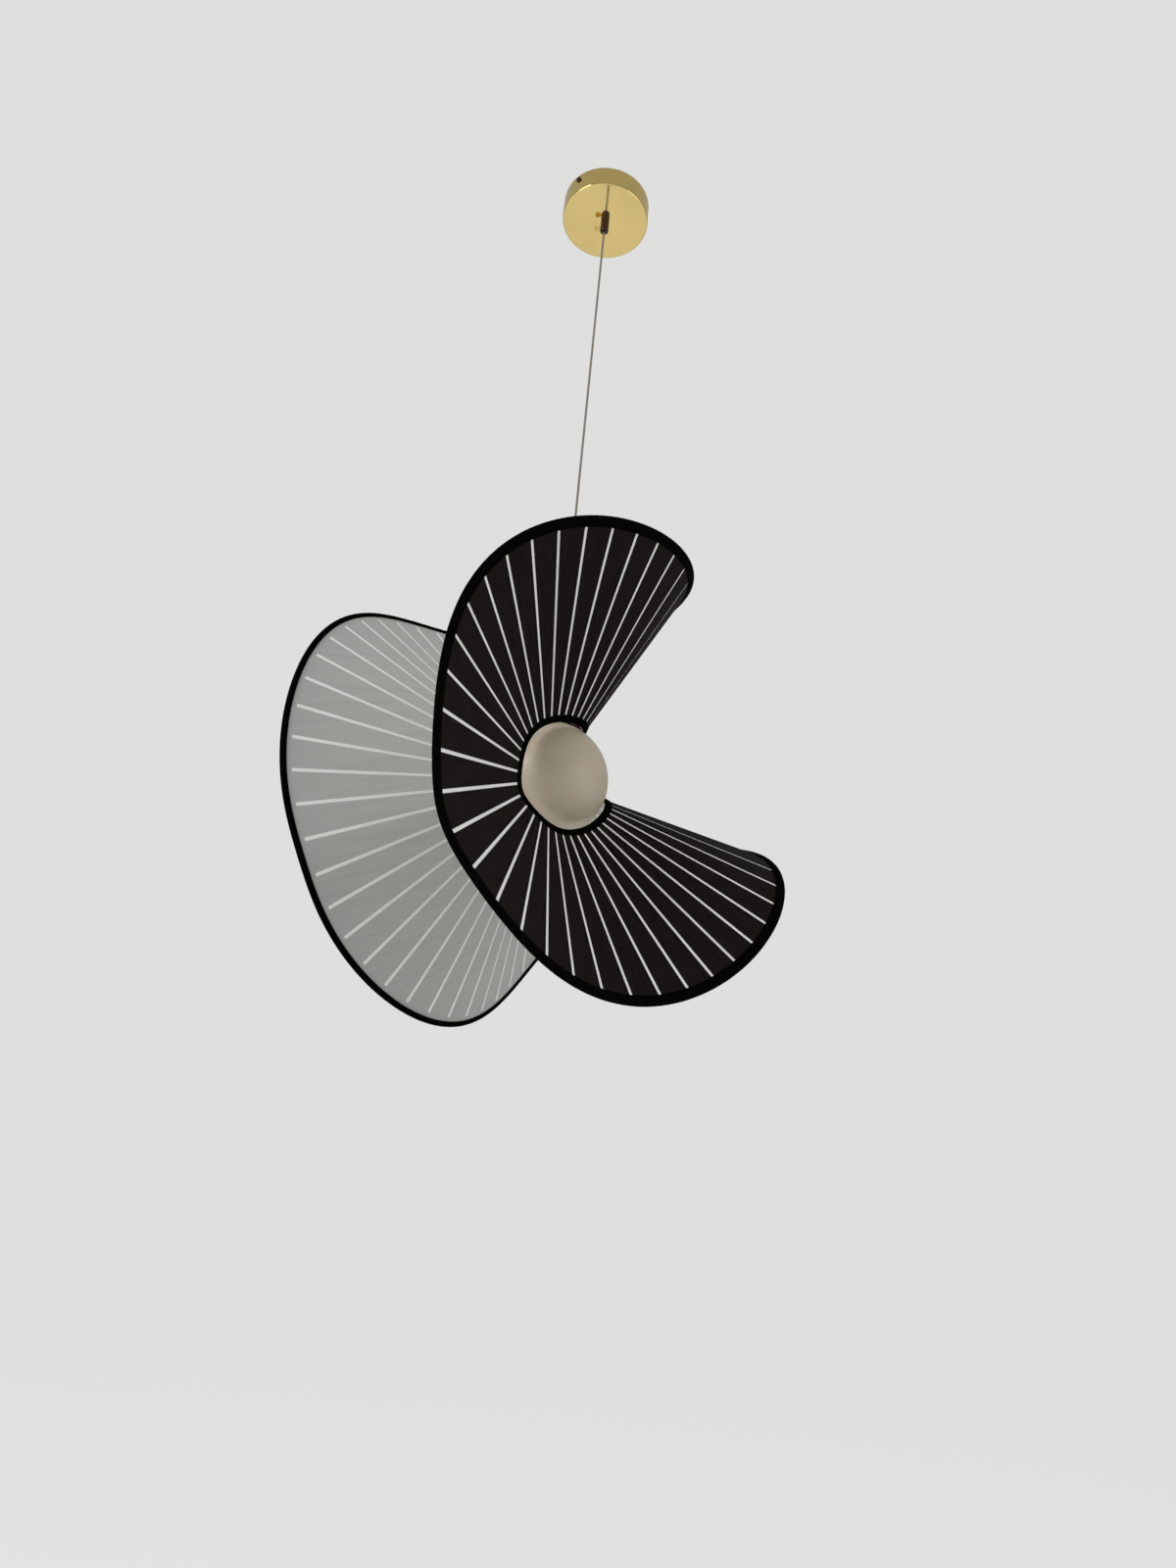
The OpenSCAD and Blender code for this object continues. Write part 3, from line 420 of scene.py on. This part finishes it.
def painted_light_towards_globe(finish, gain):
    """Paints the grey liner paler towards the globe: painted light, brighter near the globe than at the rim.
    """
    along = node(finish, "ShaderNodeSeparateXYZ", {"Vector": cloth_place(finish)}).outputs["Y"]
    rim_to_globe = {"Value": along, "From Min": CLOTH_OUT, "From Max": CLOTH_IN,
                    "To Min": 1.0, "To Max": gain}
    share = node(finish, "ShaderNodeMapRange", rim_to_globe).outputs["Result"]
    painted = finish.node_tree.nodes["Principled BSDF"].inputs["Base Color"].links[0].from_socket
    paler = node(finish, "ShaderNodeVectorMath", {0: painted, "Scale": share}, operation="SCALE")
    to_shader(finish, "Base Color", paler.outputs["Vector"])


black_cloth = streaked_cloth("black_cloth", (0.0032, 0.0021, 0.0016), (0.0125, 0.0092, 0.0078),
                             roughness=0.75, gloss=0.05, sheen=0.02, streak=620)
white_line = streaked_cloth("white_line", (0.66, 0.66, 0.635), (0.74, 0.74, 0.715),
                            roughness=0.8, gloss=0.25, sheen=0.1, streak=300)
# The liner's grey finish is painted shade: its white, darkened where black cloth lies behind it.
liner_painted_shade = streaked_cloth("liner_painted_shade", (0.335, 0.332, 0.322), (0.375, 0.372, 0.36),
                                  roughness=0.8, gloss=0.25, sheen=0.1, streak=160)
# Painted light: the grey liner is painted up to 1.35 times paler at the globe than at the rim.
painted_light_towards_globe(liner_painted_shade, gain=1.35)
print("cloth finishes ready")

# %% [markdown]
# Plates of cloth
#
# A liner piece and a black strip are the same kind of thing: a thin plate that runs out along the
# rays, between a top and a back height. So one function makes both from the line number of each of
# its points, row by row from the globe outwards. The rows stand closer together at the two ends,
# where the tapes begin.

# %% Plates of cloth
BETWEEN = 6
along_cloth = np.linspace(TAPE_IN_BLACK, TAPE_OUT_BLACK, 24)
under_rim_tape = [(TAPE_OUT_BLACK + TAPE_OUT_WHITE) / 2, CLOTH_OUT]
ROW_RADII = np.concatenate([[CLOTH_IN, TAPE_IN_WHITE], along_cloth, under_rim_tape])
LOBE_SHARE = np.interp(ROW_RADII, [TAPE_IN_BLACK, TAPE_OUT_BLACK], [1, 0])


def rows_at(k):
    """Radius of every row at line k. The rows next to the globe follow the inner hoop's lobes."""
    return ROW_RADII[:, None] + LOBE_SHARE[:, None] * lobe(k)


def plate_of_cloth(ks, top, back):
    """Points, faces and flat map of a plate: ks holds the line number of each row's points."""
    rows, columns = ks.shape
    radius = rows_at(ks)
    faces_of_plate = [on_cloth(ks, radius, np.broadcast_to(h, ks.shape)) for h in (top, back)]
    points = np.concatenate([face.reshape(-1, 3) for face in faces_of_plate])
    across = radius * (ks - ks.mean(axis=1, keepdims=True)) * LINE_ANGLE
    flat = np.stack([across.ravel(), radius.ravel()], axis=1)
    upper = grid_faces(rows, columns)
    lower = upper[:, ::-1] + rows * columns
    out_edge = np.arange(1, rows) * columns + columns - 1
    last_row = (rows - 1) * columns + np.arange(columns - 2, -1, -1)
    back_edge = np.arange(rows - 2, 0, -1) * columns
    border = np.concatenate([np.arange(columns), out_edge, last_row, back_edge])
    following = np.roll(border, -1)
    sides = np.stack([following, border, border + rows * columns, following + rows * columns], axis=1)
    return points, np.concatenate([upper, lower, sides]), np.concatenate([flat, flat])


def pitch_columns(line):
    """Line numbers from one white line's middle to just before the next's, at every row."""
    low, high = half_line(rows_at(line)), 1 - half_line(rows_at(line + 1))
    steps = np.linspace(0, 1, BETWEEN)[None, :]
    return line + np.concatenate([np.zeros_like(low), low + (high - low) * steps], axis=1)


# %% [markdown]
# The white liner
#
# The liner is cut in four equal pieces, each a flat sector of a ring, and they meet in the middle of
# a white line. Seen from the open side, it is painted grey wherever black cloth or the black tape
# lies behind it, a painted shade for the light that the black keeps from coming through. So a band
# next to the rim stays grey, because the black tape lies behind it there, and the white lines stop
# short of the edge.

# %% White liner
# Faces of the second finish get the painted shade, a grey where black lies behind the liner.
IN_LINE, PAINTED_SHADE_FACES = 0, 1
SAME_RADIUS = 1e-6
LINER_CUT_ANGLE = LINES_PER_PIECE * LINE_ANGLE


def make_liner(piece):
    """One piece of the liner, with white lines on its middle part. Gives its flat area."""
    first = FIRST_OF_PIECES + piece * LINES_PER_PIECE
    ks = [pitch_columns(first + i) for i in range(LINES_PER_PIECE)]
    ks = np.concatenate([*ks, np.full((len(ROW_RADII), 1), first + LINES_PER_PIECE)], axis=1)
    points, faces, flat = plate_of_cloth(ks, -CLOTH_GAP, LINER_BACK)
    per_pitch = BETWEEN + 1
    column = np.arange(ks.shape[1] - 1) % per_pitch
    in_line = (column == 0) | (column == per_pitch - 1)
    row = np.arange(len(ROW_RADII) - 1)
    past_inner_tape = ROW_RADII[row] >= TAPE_IN_BLACK - SAME_RADIUS
    before_rim_tape = ROW_RADII[row + 1] <= TAPE_OUT_BLACK + SAME_RADIUS
    bare = past_inner_tape & before_rim_tape
    # Line faces clear of both tapes keep the white. All other faces get the painted shade.
    grid = np.where(bare[:, None] & in_line[None, :], IN_LINE, PAINTED_SHADE_FACES).ravel()
    inner_edge = CLOTH_IN + lobe(np.linspace(first, first + LINES_PER_PIECE, 400))
    area = LINER_CUT_ANGLE * np.mean(CLOTH_OUT ** 2 - inner_edge ** 2) / 2
    face_finish = np.concatenate([grid, grid, np.full(len(faces) - 2 * len(grid), PAINTED_SHADE_FACES)])
    made = add_piece(f"white_liner_{piece + 1}", points, faces, [white_line, liner_painted_shade], "lamp",
                     flat, face_finish)
    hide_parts(f"liner_{piece + 1}")
    return area


liner_areas = [make_liner(piece) for piece in range(PIECES)]
print("liner pieces: sectors of", round(math.degrees(LINER_CUT_ANGLE), 1), "deg,",
      [round(float(area), 4) for area in liner_areas], "m2")

# %% [markdown]
# The black strips
#
# There are 84 tapered strips, one between each two white lines. Each has its long edges turned under,
# so a strip is a little thicker there, with a soft step where the turned part ends. The hem is
# modelled, not only raised by a material, because it makes the fine light edge beside each line.

# %% Black strips
HEM_W, HEM_END = 1.9 * MM, 2.4 * MM
EDGE_ROUND = 0.3 * MM
UNDER, EDGE_H, HEM_H, SINGLE_H = 0.06 * MM, 0.34 * MM, 0.62 * MM, 0.42 * MM
CUT_APART = 0.0371
strip_out_w = CLOTH_OUT * LINE_ANGLE - LINE_OUT


def strip_size(line):
    """Width at the globe, length and area of the strip that starts at a white line."""
    inner = CLOTH_IN + lobe(line + 0.5)
    width = inner * LINE_ANGLE * (1 - 2 * half_line(inner))
    return width, CLOTH_OUT - inner, (CLOTH_OUT - inner) * (width + strip_out_w) / 2


def make_strips(piece):
    """The 21 strips of one set. Each is cut from another place of the cloth, so its streaks differ."""
    points, faces, flats = [], [], []
    offsets = np.array([0, EDGE_ROUND, HEM_W, HEM_END])
    heights = np.array([EDGE_H, HEM_H, HEM_H, SINGLE_H])
    middle = np.linspace(0, 1, BETWEEN)[1:-1]
    top = np.concatenate([heights, np.full(len(middle), SINGLE_H), heights[::-1]])
    lines = [FIRST_OF_PIECES + piece * LINES_PER_PIECE + i for i in range(LINES_PER_PIECE)]
    for line in lines:
        low, high = line + half_line(rows_at(line)), line + 1 - half_line(rows_at(line + 1))
        inset = offsets[None, :] / (rows_at(line + 0.5) * LINE_ANGLE)
        ks = np.concatenate([low + inset, low + (high - low) * middle, high - inset[:, ::-1]], axis=1)
        p, f, flat = plate_of_cloth(ks, top, UNDER)
        faces.append(f + sum(len(q) for q in points))
        points.append(p)
        flats.append(flat + np.array([line * CUT_APART, 0]))
    made = add_piece(f"black_strip_set_{piece + 1}", np.concatenate(points), np.concatenate(faces),
                     [black_cloth], "lamp", np.concatenate(flats))
    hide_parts(f"black_strips_{piece + 1}")


for piece in range(PIECES):
    make_strips(piece)
for line in (0, 20):
    print("strip", line, "is", [round(float(size) * 1000, 1) for size in strip_size(line)[:2]],
          "mm wide at the globe and long,", round(strip_out_w * 1000, 1), "mm wide at the rim")

# %% [markdown]
# Binding tape
#
# A strip of black cotton tape is folded over each hoop and sewn through both layers of cloth, wide
# on the black side and narrow on the white side. It could be a swept flat band. Here its outline is
# a fold round the wire with tangents down to the cloth, and the band puckers a little between the
# stitches, as tape does when it follows a curve.

# %% Binding tape
TAPE_T = 0.8 * MM
TAPE_FIT = 0.05 * MM
EDGE_HEIGHT = 1.0 * MM
TAPE_TOP = EDGE_HEIGHT + 0.5 * TAPE_T
PUCKER = 0.12 * MM
PUCKER_WAVES = ((1.35 * MM, 0), (2.9 * MM, 1), (7.3 * MM, 2))
FOLD_FROM, FOLD_TO, FOLD_POINTS = 78, 300, 11
EDGE_SHARE = 0.85
SLOPE_LIFT = 0.1 * MM
STEPS_PER_LINE = 40


def tape_outline(wire, black_reach, white_reach):
    """The folded tape's outline, towards the cloth and the black side, and how far each point puckers."""
    arc = np.radians(np.linspace(FOLD_FROM, FOLD_TO, FOLD_POINTS))
    fold = np.stack([np.cos(arc), np.sin(arc)], axis=1)
    outer = wire + TAPE_FIT + TAPE_T
    step_in = TAPE_T / 4
    edge_half = TAPE_T / 2 * EDGE_SHARE
    black_edge = [(black_reach, EDGE_HEIGHT), (black_reach - step_in, EDGE_HEIGHT + edge_half)]
    white_edge = [(white_reach - step_in, -EDGE_HEIGHT - edge_half), (white_reach, -EDGE_HEIGHT),
                  (white_reach - step_in, -EDGE_HEIGHT + edge_half)]
    back = fold[::-1][::2] * (wire + TAPE_FIT)
    last = [(black_reach - step_in, EDGE_HEIGHT - edge_half)]
    slope = (fold[0] * outer + np.array(black_edge[1])) / 2 + np.array([0, SLOPE_LIFT])
    outline = np.concatenate([black_edge, [slope], fold * outer, white_edge, back, last])
    loose = np.concatenate([[0, 0.4, 1], np.linspace(1, 0.5, len(fold)), np.zeros(3 + len(back) + 1)])
    return outline, loose


def reach_at(radius, inward, k):
    """A radius near a hoop at line k: near the inner hoop it follows that hoop's lobes."""
    return radius + (lobe(k) if inward > 0 else 0 * np.asarray(k, float))


def walk_along(radius, inward, first, last):
    """Line numbers in fine steps, and the length walked along the hoop up to each."""
    fine = np.linspace(first, last, (last - first) * STEPS_PER_LINE + 1)
    path = on_cloth(fine, reach_at(radius, inward, fine), 0)
    return fine, np.concatenate([[0], np.cumsum(np.linalg.norm(np.diff(path, axis=0), axis=1))])


def sweep_tape(hoop, inward, outline, loose, first, last, per_line):
    """Points, faces and flat map of a tape from line first to line last, closed if it goes all round."""
    closed = last - first == LINES
    stations = np.linspace(first, last, (last - first) * per_line + 1)[:-1 if closed else None]
    fine, walked_hoop = walk_along(hoop, inward, first, last)
    along = np.interp(stations, fine, walked_hoop)
    ripple = sum(np.sin(along / length + shift) for length, shift in PUCKER_WAVES) / len(PUCKER_WAVES)
    outwards = np.sign(outline[:, 1])
    height = outline[:, 1][None, :] + PUCKER * loose[None, :] * ripple[:, None] * outwards[None, :]
    radius = reach_at(hoop, inward, stations)[:, None] + inward * outline[:, 0][None, :]
    points = on_cloth(stations[:, None], radius, height).reshape(-1, 3)
    columns = len(outline)
    faces = grid_faces(len(stations), columns, close_rows=closed, close_columns=True)
    if inward < 0:
        faces = faces[:, ::-1]
    faces = faces.tolist()
    if not closed:
        start = list(range(columns))
        end = [(len(stations) - 1) * columns + j for j in start]
        faces += [start, end[::-1]] if inward < 0 else [start[::-1], end]
    around = np.concatenate([[0], np.cumsum(np.linalg.norm(np.diff(outline, axis=0), axis=1))])
    flat = np.stack([np.tile(around, len(stations)), np.repeat(along, columns)], axis=1)
    return points, faces, flat


STITCH_L, STITCH_PITCH, STITCH_R, STITCH_IN = 2.5 * MM, 3.6 * MM, 0.2 * MM, 1.5 * MM
STITCH_SIDES = 5
STITCH_PROFILE = np.array([(-0.5, 0.35), (-0.4, 1), (0, 1.15), (0.4, 1), (0.5, 0.35)])


def stitch_row(hoop, inward, reach, height, first, last):
    """Faces and points of a row of stitches that lie on the tape, as small rods with rounded ends."""
    fine, walked_row = walk_along(hoop + inward * reach, inward, first, last)
    count = int(walked_row[-1] / STITCH_PITCH)
    middles = walked_row[-1] * (np.arange(count) + 0.5) / count
    ks = np.interp(middles[:, None] + STITCH_PROFILE[None, :, 0] * STITCH_L, walked_row, fine)
    fat = STITCH_R * STITCH_PROFILE[:, 1]
    centres = on_cloth(ks, reach_at(hoop + inward * reach, inward, ks), height)
    turn = np.arange(STITCH_SIDES) * 2 * math.pi / STITCH_SIDES
    out, side = turned(line_ray(ks)), turned(black_side(ks))
    ring = np.cos(turn)[:, None] * out[:, :, None, :] + np.sin(turn)[:, None] * side[:, :, None, :]
    points = centres[:, :, None, :] + fat[None, :, None, None] * ring
    per_stitch = len(fat) * STITCH_SIDES
    tube = grid_faces(len(fat), STITCH_SIDES, close_columns=True)[:, ::-1]
    start = list(range(STITCH_SIDES))
    end = list(range(per_stitch - 1, per_stitch - STITCH_SIDES - 1, -1))
    one_stitch = [*tube.tolist(), start, end]
    faces = [[v + i * per_stitch for v in face] for i in range(count) for face in one_stitch]
    return points.reshape(-1, 3), faces


# %% [markdown]
# Tape on both hoops
#
# The rim's tape is sewn on in four lengths, one for each piece of the liner. The inner tape goes
# round in one length. Each has a row of stitches on both sides, a little in from the tape's edge. At
# the two clamps on the inner hoop the tape stays flat enough to pass between the clamps' plates.

# %% Tape finishes and pieces
RIM_BLACK_REACH, RIM_WHITE_REACH = OUTER_HOOP - TAPE_OUT_BLACK, OUTER_HOOP - TAPE_OUT_WHITE
GLOBE_BLACK_REACH, GLOBE_WHITE_REACH = TAPE_IN_BLACK - INNER_HOOP, TAPE_IN_WHITE - INNER_HOOP
PER_LINE_RIM, PER_LINE_INNER = 16, 6
TAPE_TONE_SCALE = 260
RIB_SCALE, RIB_H, RIB_STRENGTH = 302.5478, 0.15 * MM, 0.45
THREAD_SCALE, THREAD_H, THREAD_STRENGTH = 800, 0.05 * MM, 0.5

black_tape = new_finish("black_tape", (0.0015, 0.0013, 0.0012), roughness=0.85, Specular_IOR_Level=0.015)
tape_tone = noise(black_tape, cloth_place(black_tape), TAPE_TONE_SCALE, detail=4)
tones(black_tape, tape_tone, (0.0007, 0.0006, 0.0005), (0.0020, 0.0017, 0.0015))
tape_ribs = waves(black_tape, cloth_place(black_tape), RIB_SCALE, "Y")
bump(black_tape, tape_ribs, RIB_H, RIB_STRENGTH)

black_thread = new_finish("black_thread", (0.013, 0.0115, 0.011), roughness=0.42, Specular_IOR_Level=0.5)
thread_twist = waves(black_thread, own_place(black_thread), THREAD_SCALE, "DIAGONAL")
bump(black_thread, thread_twist, THREAD_H, THREAD_STRENGTH)


def make_tape(name, nodes_replaced, hoop, wire, inward, reaches, first, last, per_line):
    """A tape with its stitches. Reaches say how far it covers the black and the white side."""
    outline, loose = tape_outline(wire, *reaches)
    points, faces, flat = sweep_tape(hoop, inward, outline, loose, first, last, per_line)
    tape_faces = len(faces)
    for reach, height in ((reaches[0] - STITCH_IN, TAPE_TOP), (reaches[1] - STITCH_IN * 0.5, -TAPE_TOP)):
        p, f = stitch_row(hoop, inward, reach, height, first, last)
        faces += [[v + len(points) for v in face] for face in f]
        points = np.concatenate([points, p])
    flat = np.concatenate([flat, np.zeros((len(points) - len(flat), 2))])
    face_finish = np.concatenate([np.zeros(tape_faces), np.ones(len(faces) - tape_faces)])
    made = add_piece(name, points, faces, [black_tape, black_thread], "lamp", flat, face_finish)
    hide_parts(*nodes_replaced)
    length = float(walk_along(hoop, inward, first, last)[1][-1])


for piece in range(PIECES):
    start = FIRST_OF_PIECES + piece * LINES_PER_PIECE
    make_tape(f"rim_tape_{piece + 1}", [f"outer_binding_{piece + 1}"], OUTER_HOOP, OUTER_WIRE, -1,
              (RIM_BLACK_REACH, RIM_WHITE_REACH), start, start + LINES_PER_PIECE, PER_LINE_RIM)
make_tape("inner_tape", ["inner_binding"], INNER_HOOP, INNER_WIRE, 1,
          (GLOBE_BLACK_REACH, GLOBE_WHITE_REACH), 0, LINES, PER_LINE_INNER)

# %% [markdown]
# Metal finishes
#
# The canopy is lacquered brass: polished, yet not perfect, so reflections spread a little and change
# from place to place, and it carries very fine rings from the spinning tool. The cord grip, the lamp
# head and its bracket are bronzed, nearly black, because nothing bright shows round the globe. The
# inner fittings that nobody sees are zinc plated steel and plain brass screws.

# %% Metal finishes
METAL_DARK, METAL_LIGHT = 0.95, 1.04
METAL_SMUDGE_SCALE, METAL_TONE_SCALE, SCRATCH_SCALE = 34, 19, 900
SCRATCH_STRETCH, SCRATCH_H, RING_H = (1, 1, 0.2), 0.012 * MM, 0.006 * MM


def polished_metal(name, colour, roughness, smudge, ring_scale=0):
    """Metal with smudges in its gloss, fine random scratches and, if spun, rings round its axis."""
    finish = new_finish(name, colour, roughness, metallic=1.0)
    smudges = noise(finish, own_place(finish), METAL_SMUDGE_SCALE, detail=5, roughness=0.6)
    to_shader(finish, "Roughness", spread(finish, smudges, roughness - smudge, roughness + smudge))
    dark, light = [c * METAL_DARK for c in colour], [min(1, c * METAL_LIGHT) for c in colour]
    tones(finish, noise(finish, own_place(finish), METAL_TONE_SCALE), dark, light)
    scratches = noise(finish, own_place(finish, SCRATCH_STRETCH), SCRATCH_SCALE)
    under = bump(finish, scratches, SCRATCH_H, strength=0.3)
    if ring_scale:
        spun = {"Vector": own_place(finish), "Scale": ring_scale, "Distortion": 0.15, "Detail": 2.0}
        rings = node(finish, "ShaderNodeTexWave", spun, wave_type="RINGS", rings_direction="Z").outputs["Fac"]
        bump(finish, rings, RING_H, strength=0.25, under=under)
    return finish


BRASS = (0.79, 0.61, 0.25)
brass_spun = polished_metal("brass_spun", BRASS, roughness=0.09, smudge=0.025, ring_scale=260)
brass_turned = polished_metal("brass_turned", BRASS, roughness=0.16, smudge=0.04)
bronze = polished_metal("bronze", (0.058, 0.034, 0.036), roughness=0.28, smudge=0.05)
brass_dark = polished_metal("brass_dark", (0.55, 0.42, 0.2), roughness=0.3, smudge=0.06)
zinc_steel = polished_metal("zinc_steel", (0.56, 0.57, 0.58), roughness=0.34, smudge=0.07)
print("metals", [finish.name for finish in (brass_spun, brass_turned, bronze, brass_dark, zinc_steel)])

# %% [markdown]
# Glass, porcelain and plastics
#
# The globe is opal glass that isn't lit: warm grey with a soft skin of reflections, a little light
# in its depth, and faint unevenness from blowing. The bulb's cover is milky plastic. The lampholder
# and the terminal block are glazed porcelain, slightly wavy and speckled.

# %% Glass, porcelain and plastics
CLOUD_SCALE, SWELL_SCALE, WIPE_SCALE = 12, 26, 45
SPECK_SHARE, WIPED_LOW, WIPED_HIGH = 0.04, 0.8, 1.2


def glazed(name, dark, light, roughness, waviness, speck=300, **sockets):
    """A smooth skin with cloudy tones, a slow swell, fine specks and uneven gloss."""
    finish = new_finish(name, light, roughness, **sockets)
    tones(finish, noise(finish, own_place(finish), CLOUD_SCALE, detail=2), dark, light)
    under = bump(finish, noise(finish, own_place(finish), SWELL_SCALE, detail=2), waviness, strength=0.4)
    specks = noise(finish, own_place(finish), speck, detail=2)
    bump(finish, specks, waviness * SPECK_SHARE, strength=0.3, under=under)
    wiped = noise(finish, own_place(finish), WIPE_SCALE, detail=4)
    to_shader(finish, "Roughness", spread(finish, wiped, roughness * WIPED_LOW, roughness * WIPED_HIGH))
    return finish


opal_glass = glazed("opal_glass", (0.395, 0.335, 0.252), (0.43, 0.363, 0.275), roughness=0.42,
                    waviness=0.3 * MM, Subsurface_Weight=0.35, Subsurface_Scale=0.012,
                    Coat_Weight=0.3, Coat_Roughness=0.32)
milky_plastic = glazed("milky_plastic", (0.72, 0.71, 0.68), (0.8, 0.79, 0.76), roughness=0.3,
                       waviness=0.1 * MM, Subsurface_Weight=0.3, Subsurface_Scale=0.004)
porcelain = glazed("porcelain", (0.7, 0.68, 0.63), (0.78, 0.76, 0.72), roughness=0.18,
                   waviness=0.2 * MM, speck=900)
nylon = glazed("nylon", (0.6, 0.58, 0.52), (0.68, 0.66, 0.6), roughness=0.45, waviness=0.1 * MM)
silicone = glazed("silicone", (0.5, 0.5, 0.49), (0.58, 0.58, 0.57), roughness=0.55, waviness=0.1 * MM)
print("skins", [finish.name for finish in (opal_glass, milky_plastic, porcelain, nylon, silicone)])

# %% [markdown]
# Finishes on the frame's own nodes
#
# These nodes keep their shape and only get their finish. Hidden fittings get theirs too, since
# whoever takes the lamp apart sees them.

# %% Finishes on the frame's own nodes
FINISHED_NODES = (
    (brass_spun, ["canopy"]),
    (bronze, ["cord_grip", "canopy_screws", "cap_gland", "holder_cap", "globe_screws", "hoop_bracket",
              "bracket_rivets", "hoop_clamps"]),
    (brass_turned, ["thumb_screw"]),
    (brass_dark, ["earth_screw", "terminal_screws"]),
    (zinc_steel, ["ceiling_bracket", "block_screw", "grip_washer", "grip_nut", "cord_stop", "gland_nut",
                  "holder_bridge", "bridge_screws", "bulb_pins", "clamp_screws", "inner_hoop",
                  "outer_hoop"]),
    (opal_glass, ["globe"]),
    (milky_plastic, ["bulb_cover"]),
    (porcelain, ["terminal_block", "lampholder", "bulb_base"]),
    (nylon, ["grip_pad"]),
    (silicone, ["globe_gasket"]),
    (cord_finish, ["cord_in_canopy", "canopy_leads", "cord_in_cap", "holder_leads"]),
)
for finish, names in FINISHED_NODES:
    for name in names:
        shown = bpy.data.objects[name]
        shown.data.materials.clear()
        shown.data.materials.append(finish)
print("finished", sum(len(names) for _, names in FINISHED_NODES), "nodes of the frame")

# %% [markdown]
# Floor, background and light
#
# The lamp hangs in soft, even light, as in a plain studio. The floor lies far below. Its finish has
# no gloss, and the background has the tone that the floor takes in the even light, so the horizon
# between them can't be seen. Polished brass shows what surrounds it, so the surroundings get a few
# tones for reflections only: bright below, where a pale floor lies, darkest a little above eye
# level, and brighter again overhead.

# %% Stage and light
FLOOR_Z = -2.2
FLOOR_HALF = 60
FLOOR_TONE = (0.80, 0.80, 0.79)
AMBIENT = (0.92, 0.92, 0.92)
BACKDROP = tuple(tone * light for tone, light in zip(FLOOR_TONE, AMBIENT))

floor_mesh = bpy.data.meshes.new("pale_floor")
corners = ((-1, -1), (1, -1), (1, 1), (-1, 1))
floor_points = [(x * FLOOR_HALF, y * FLOOR_HALF, FLOOR_Z) for x, y in corners]
floor_mesh.from_pydata(floor_points, [], [(0, 1, 2, 3)])
floor = bpy.data.objects.new("pale_floor", floor_mesh)
bpy.context.scene.collection.objects.link(floor)
floor_mesh.materials.append(new_finish("pale_floor", FLOOR_TONE, 1.0, Specular_IOR_Level=0.0))

world = bpy.data.worlds.new("pale_room")
bpy.context.scene.world = world
world.use_nodes = True
tree = world.node_tree
background = tree.nodes["Background"]
rays = tree.nodes.new("ShaderNodeLightPath")
place = tree.nodes.new("ShaderNodeTexCoord")
split = tree.nodes.new("ShaderNodeSeparateXYZ")
tree.links.new(place.outputs["Generated"], split.inputs[0])
surround = tree.nodes.new("ShaderNodeValToRGB")
height = tree.nodes.new("ShaderNodeMapRange")
height.inputs["From Min"].default_value = -1
tree.links.new(split.outputs["Z"], height.inputs["Value"])
tree.links.new(height.outputs["Result"], surround.inputs["Fac"])
TONES = ((0.0, 0.64), (0.40, 0.60), (0.50, 0.35), (0.62, 0.25), (0.78, 0.31), (1.0, 0.52))
WARM = (1.0, 0.98, 0.86)
for position, _ in TONES[1:-1]:
    surround.color_ramp.elements.new(position)
for element, (position, tone) in zip(surround.color_ramp.elements, TONES):
    element.position = position
    element.color = (*(tone * share for share in WARM), 1)

glossy_or_not = tree.nodes.new("ShaderNodeMix")
glossy_or_not.data_type = "RGBA"
glossy_or_not.inputs["A"].default_value = (*AMBIENT, 1)
tree.links.new(rays.outputs["Is Glossy Ray"], glossy_or_not.inputs["Factor"])
tree.links.new(surround.outputs["Color"], glossy_or_not.inputs["B"])
seen_or_not = tree.nodes.new("ShaderNodeMix")
seen_or_not.data_type = "RGBA"
seen_or_not.inputs["B"].default_value = (*BACKDROP, 1)
tree.links.new(rays.outputs["Is Camera Ray"], seen_or_not.inputs["Factor"])
tree.links.new(glossy_or_not.outputs["Result"], seen_or_not.inputs["A"])
tree.links.new(seen_or_not.outputs["Result"], background.inputs["Color"])
background.inputs["Strength"].default_value = 1.0


def soft_light(name, place, towards, size, watts):
    """A square area light at a place, facing a point."""
    light = bpy.data.lights.new(name, "AREA")
    light.size = size
    light.energy = watts
    lamp = bpy.data.objects.new(name, light)
    bpy.context.scene.collection.objects.link(lamp)
    lamp.location = place
    lamp.rotation_euler = (Vector(towards) - Vector(place)).to_track_quat("-Z", "Y").to_euler()


MIDDLE = Vector((0, 0, -0.7))
KEY_PLACE, KEY_SIZE, KEY_WATTS = EYE + 1.6 * up - 2.2 * right - 0.3 * ahead, 1.4, 30
FILL_PLACE, FILL_SIZE, FILL_WATTS = EYE + 0.4 * up + 2.4 * right, 1.6, 8
soft_light("key", KEY_PLACE, MIDDLE, KEY_SIZE, KEY_WATTS)
soft_light("fill", FILL_PLACE, MIDDLE, FILL_SIZE, FILL_WATTS)

bpy.context.scene.view_settings.view_transform = "Standard"
print("floor at", FLOOR_Z, "m, key and fill lights set")
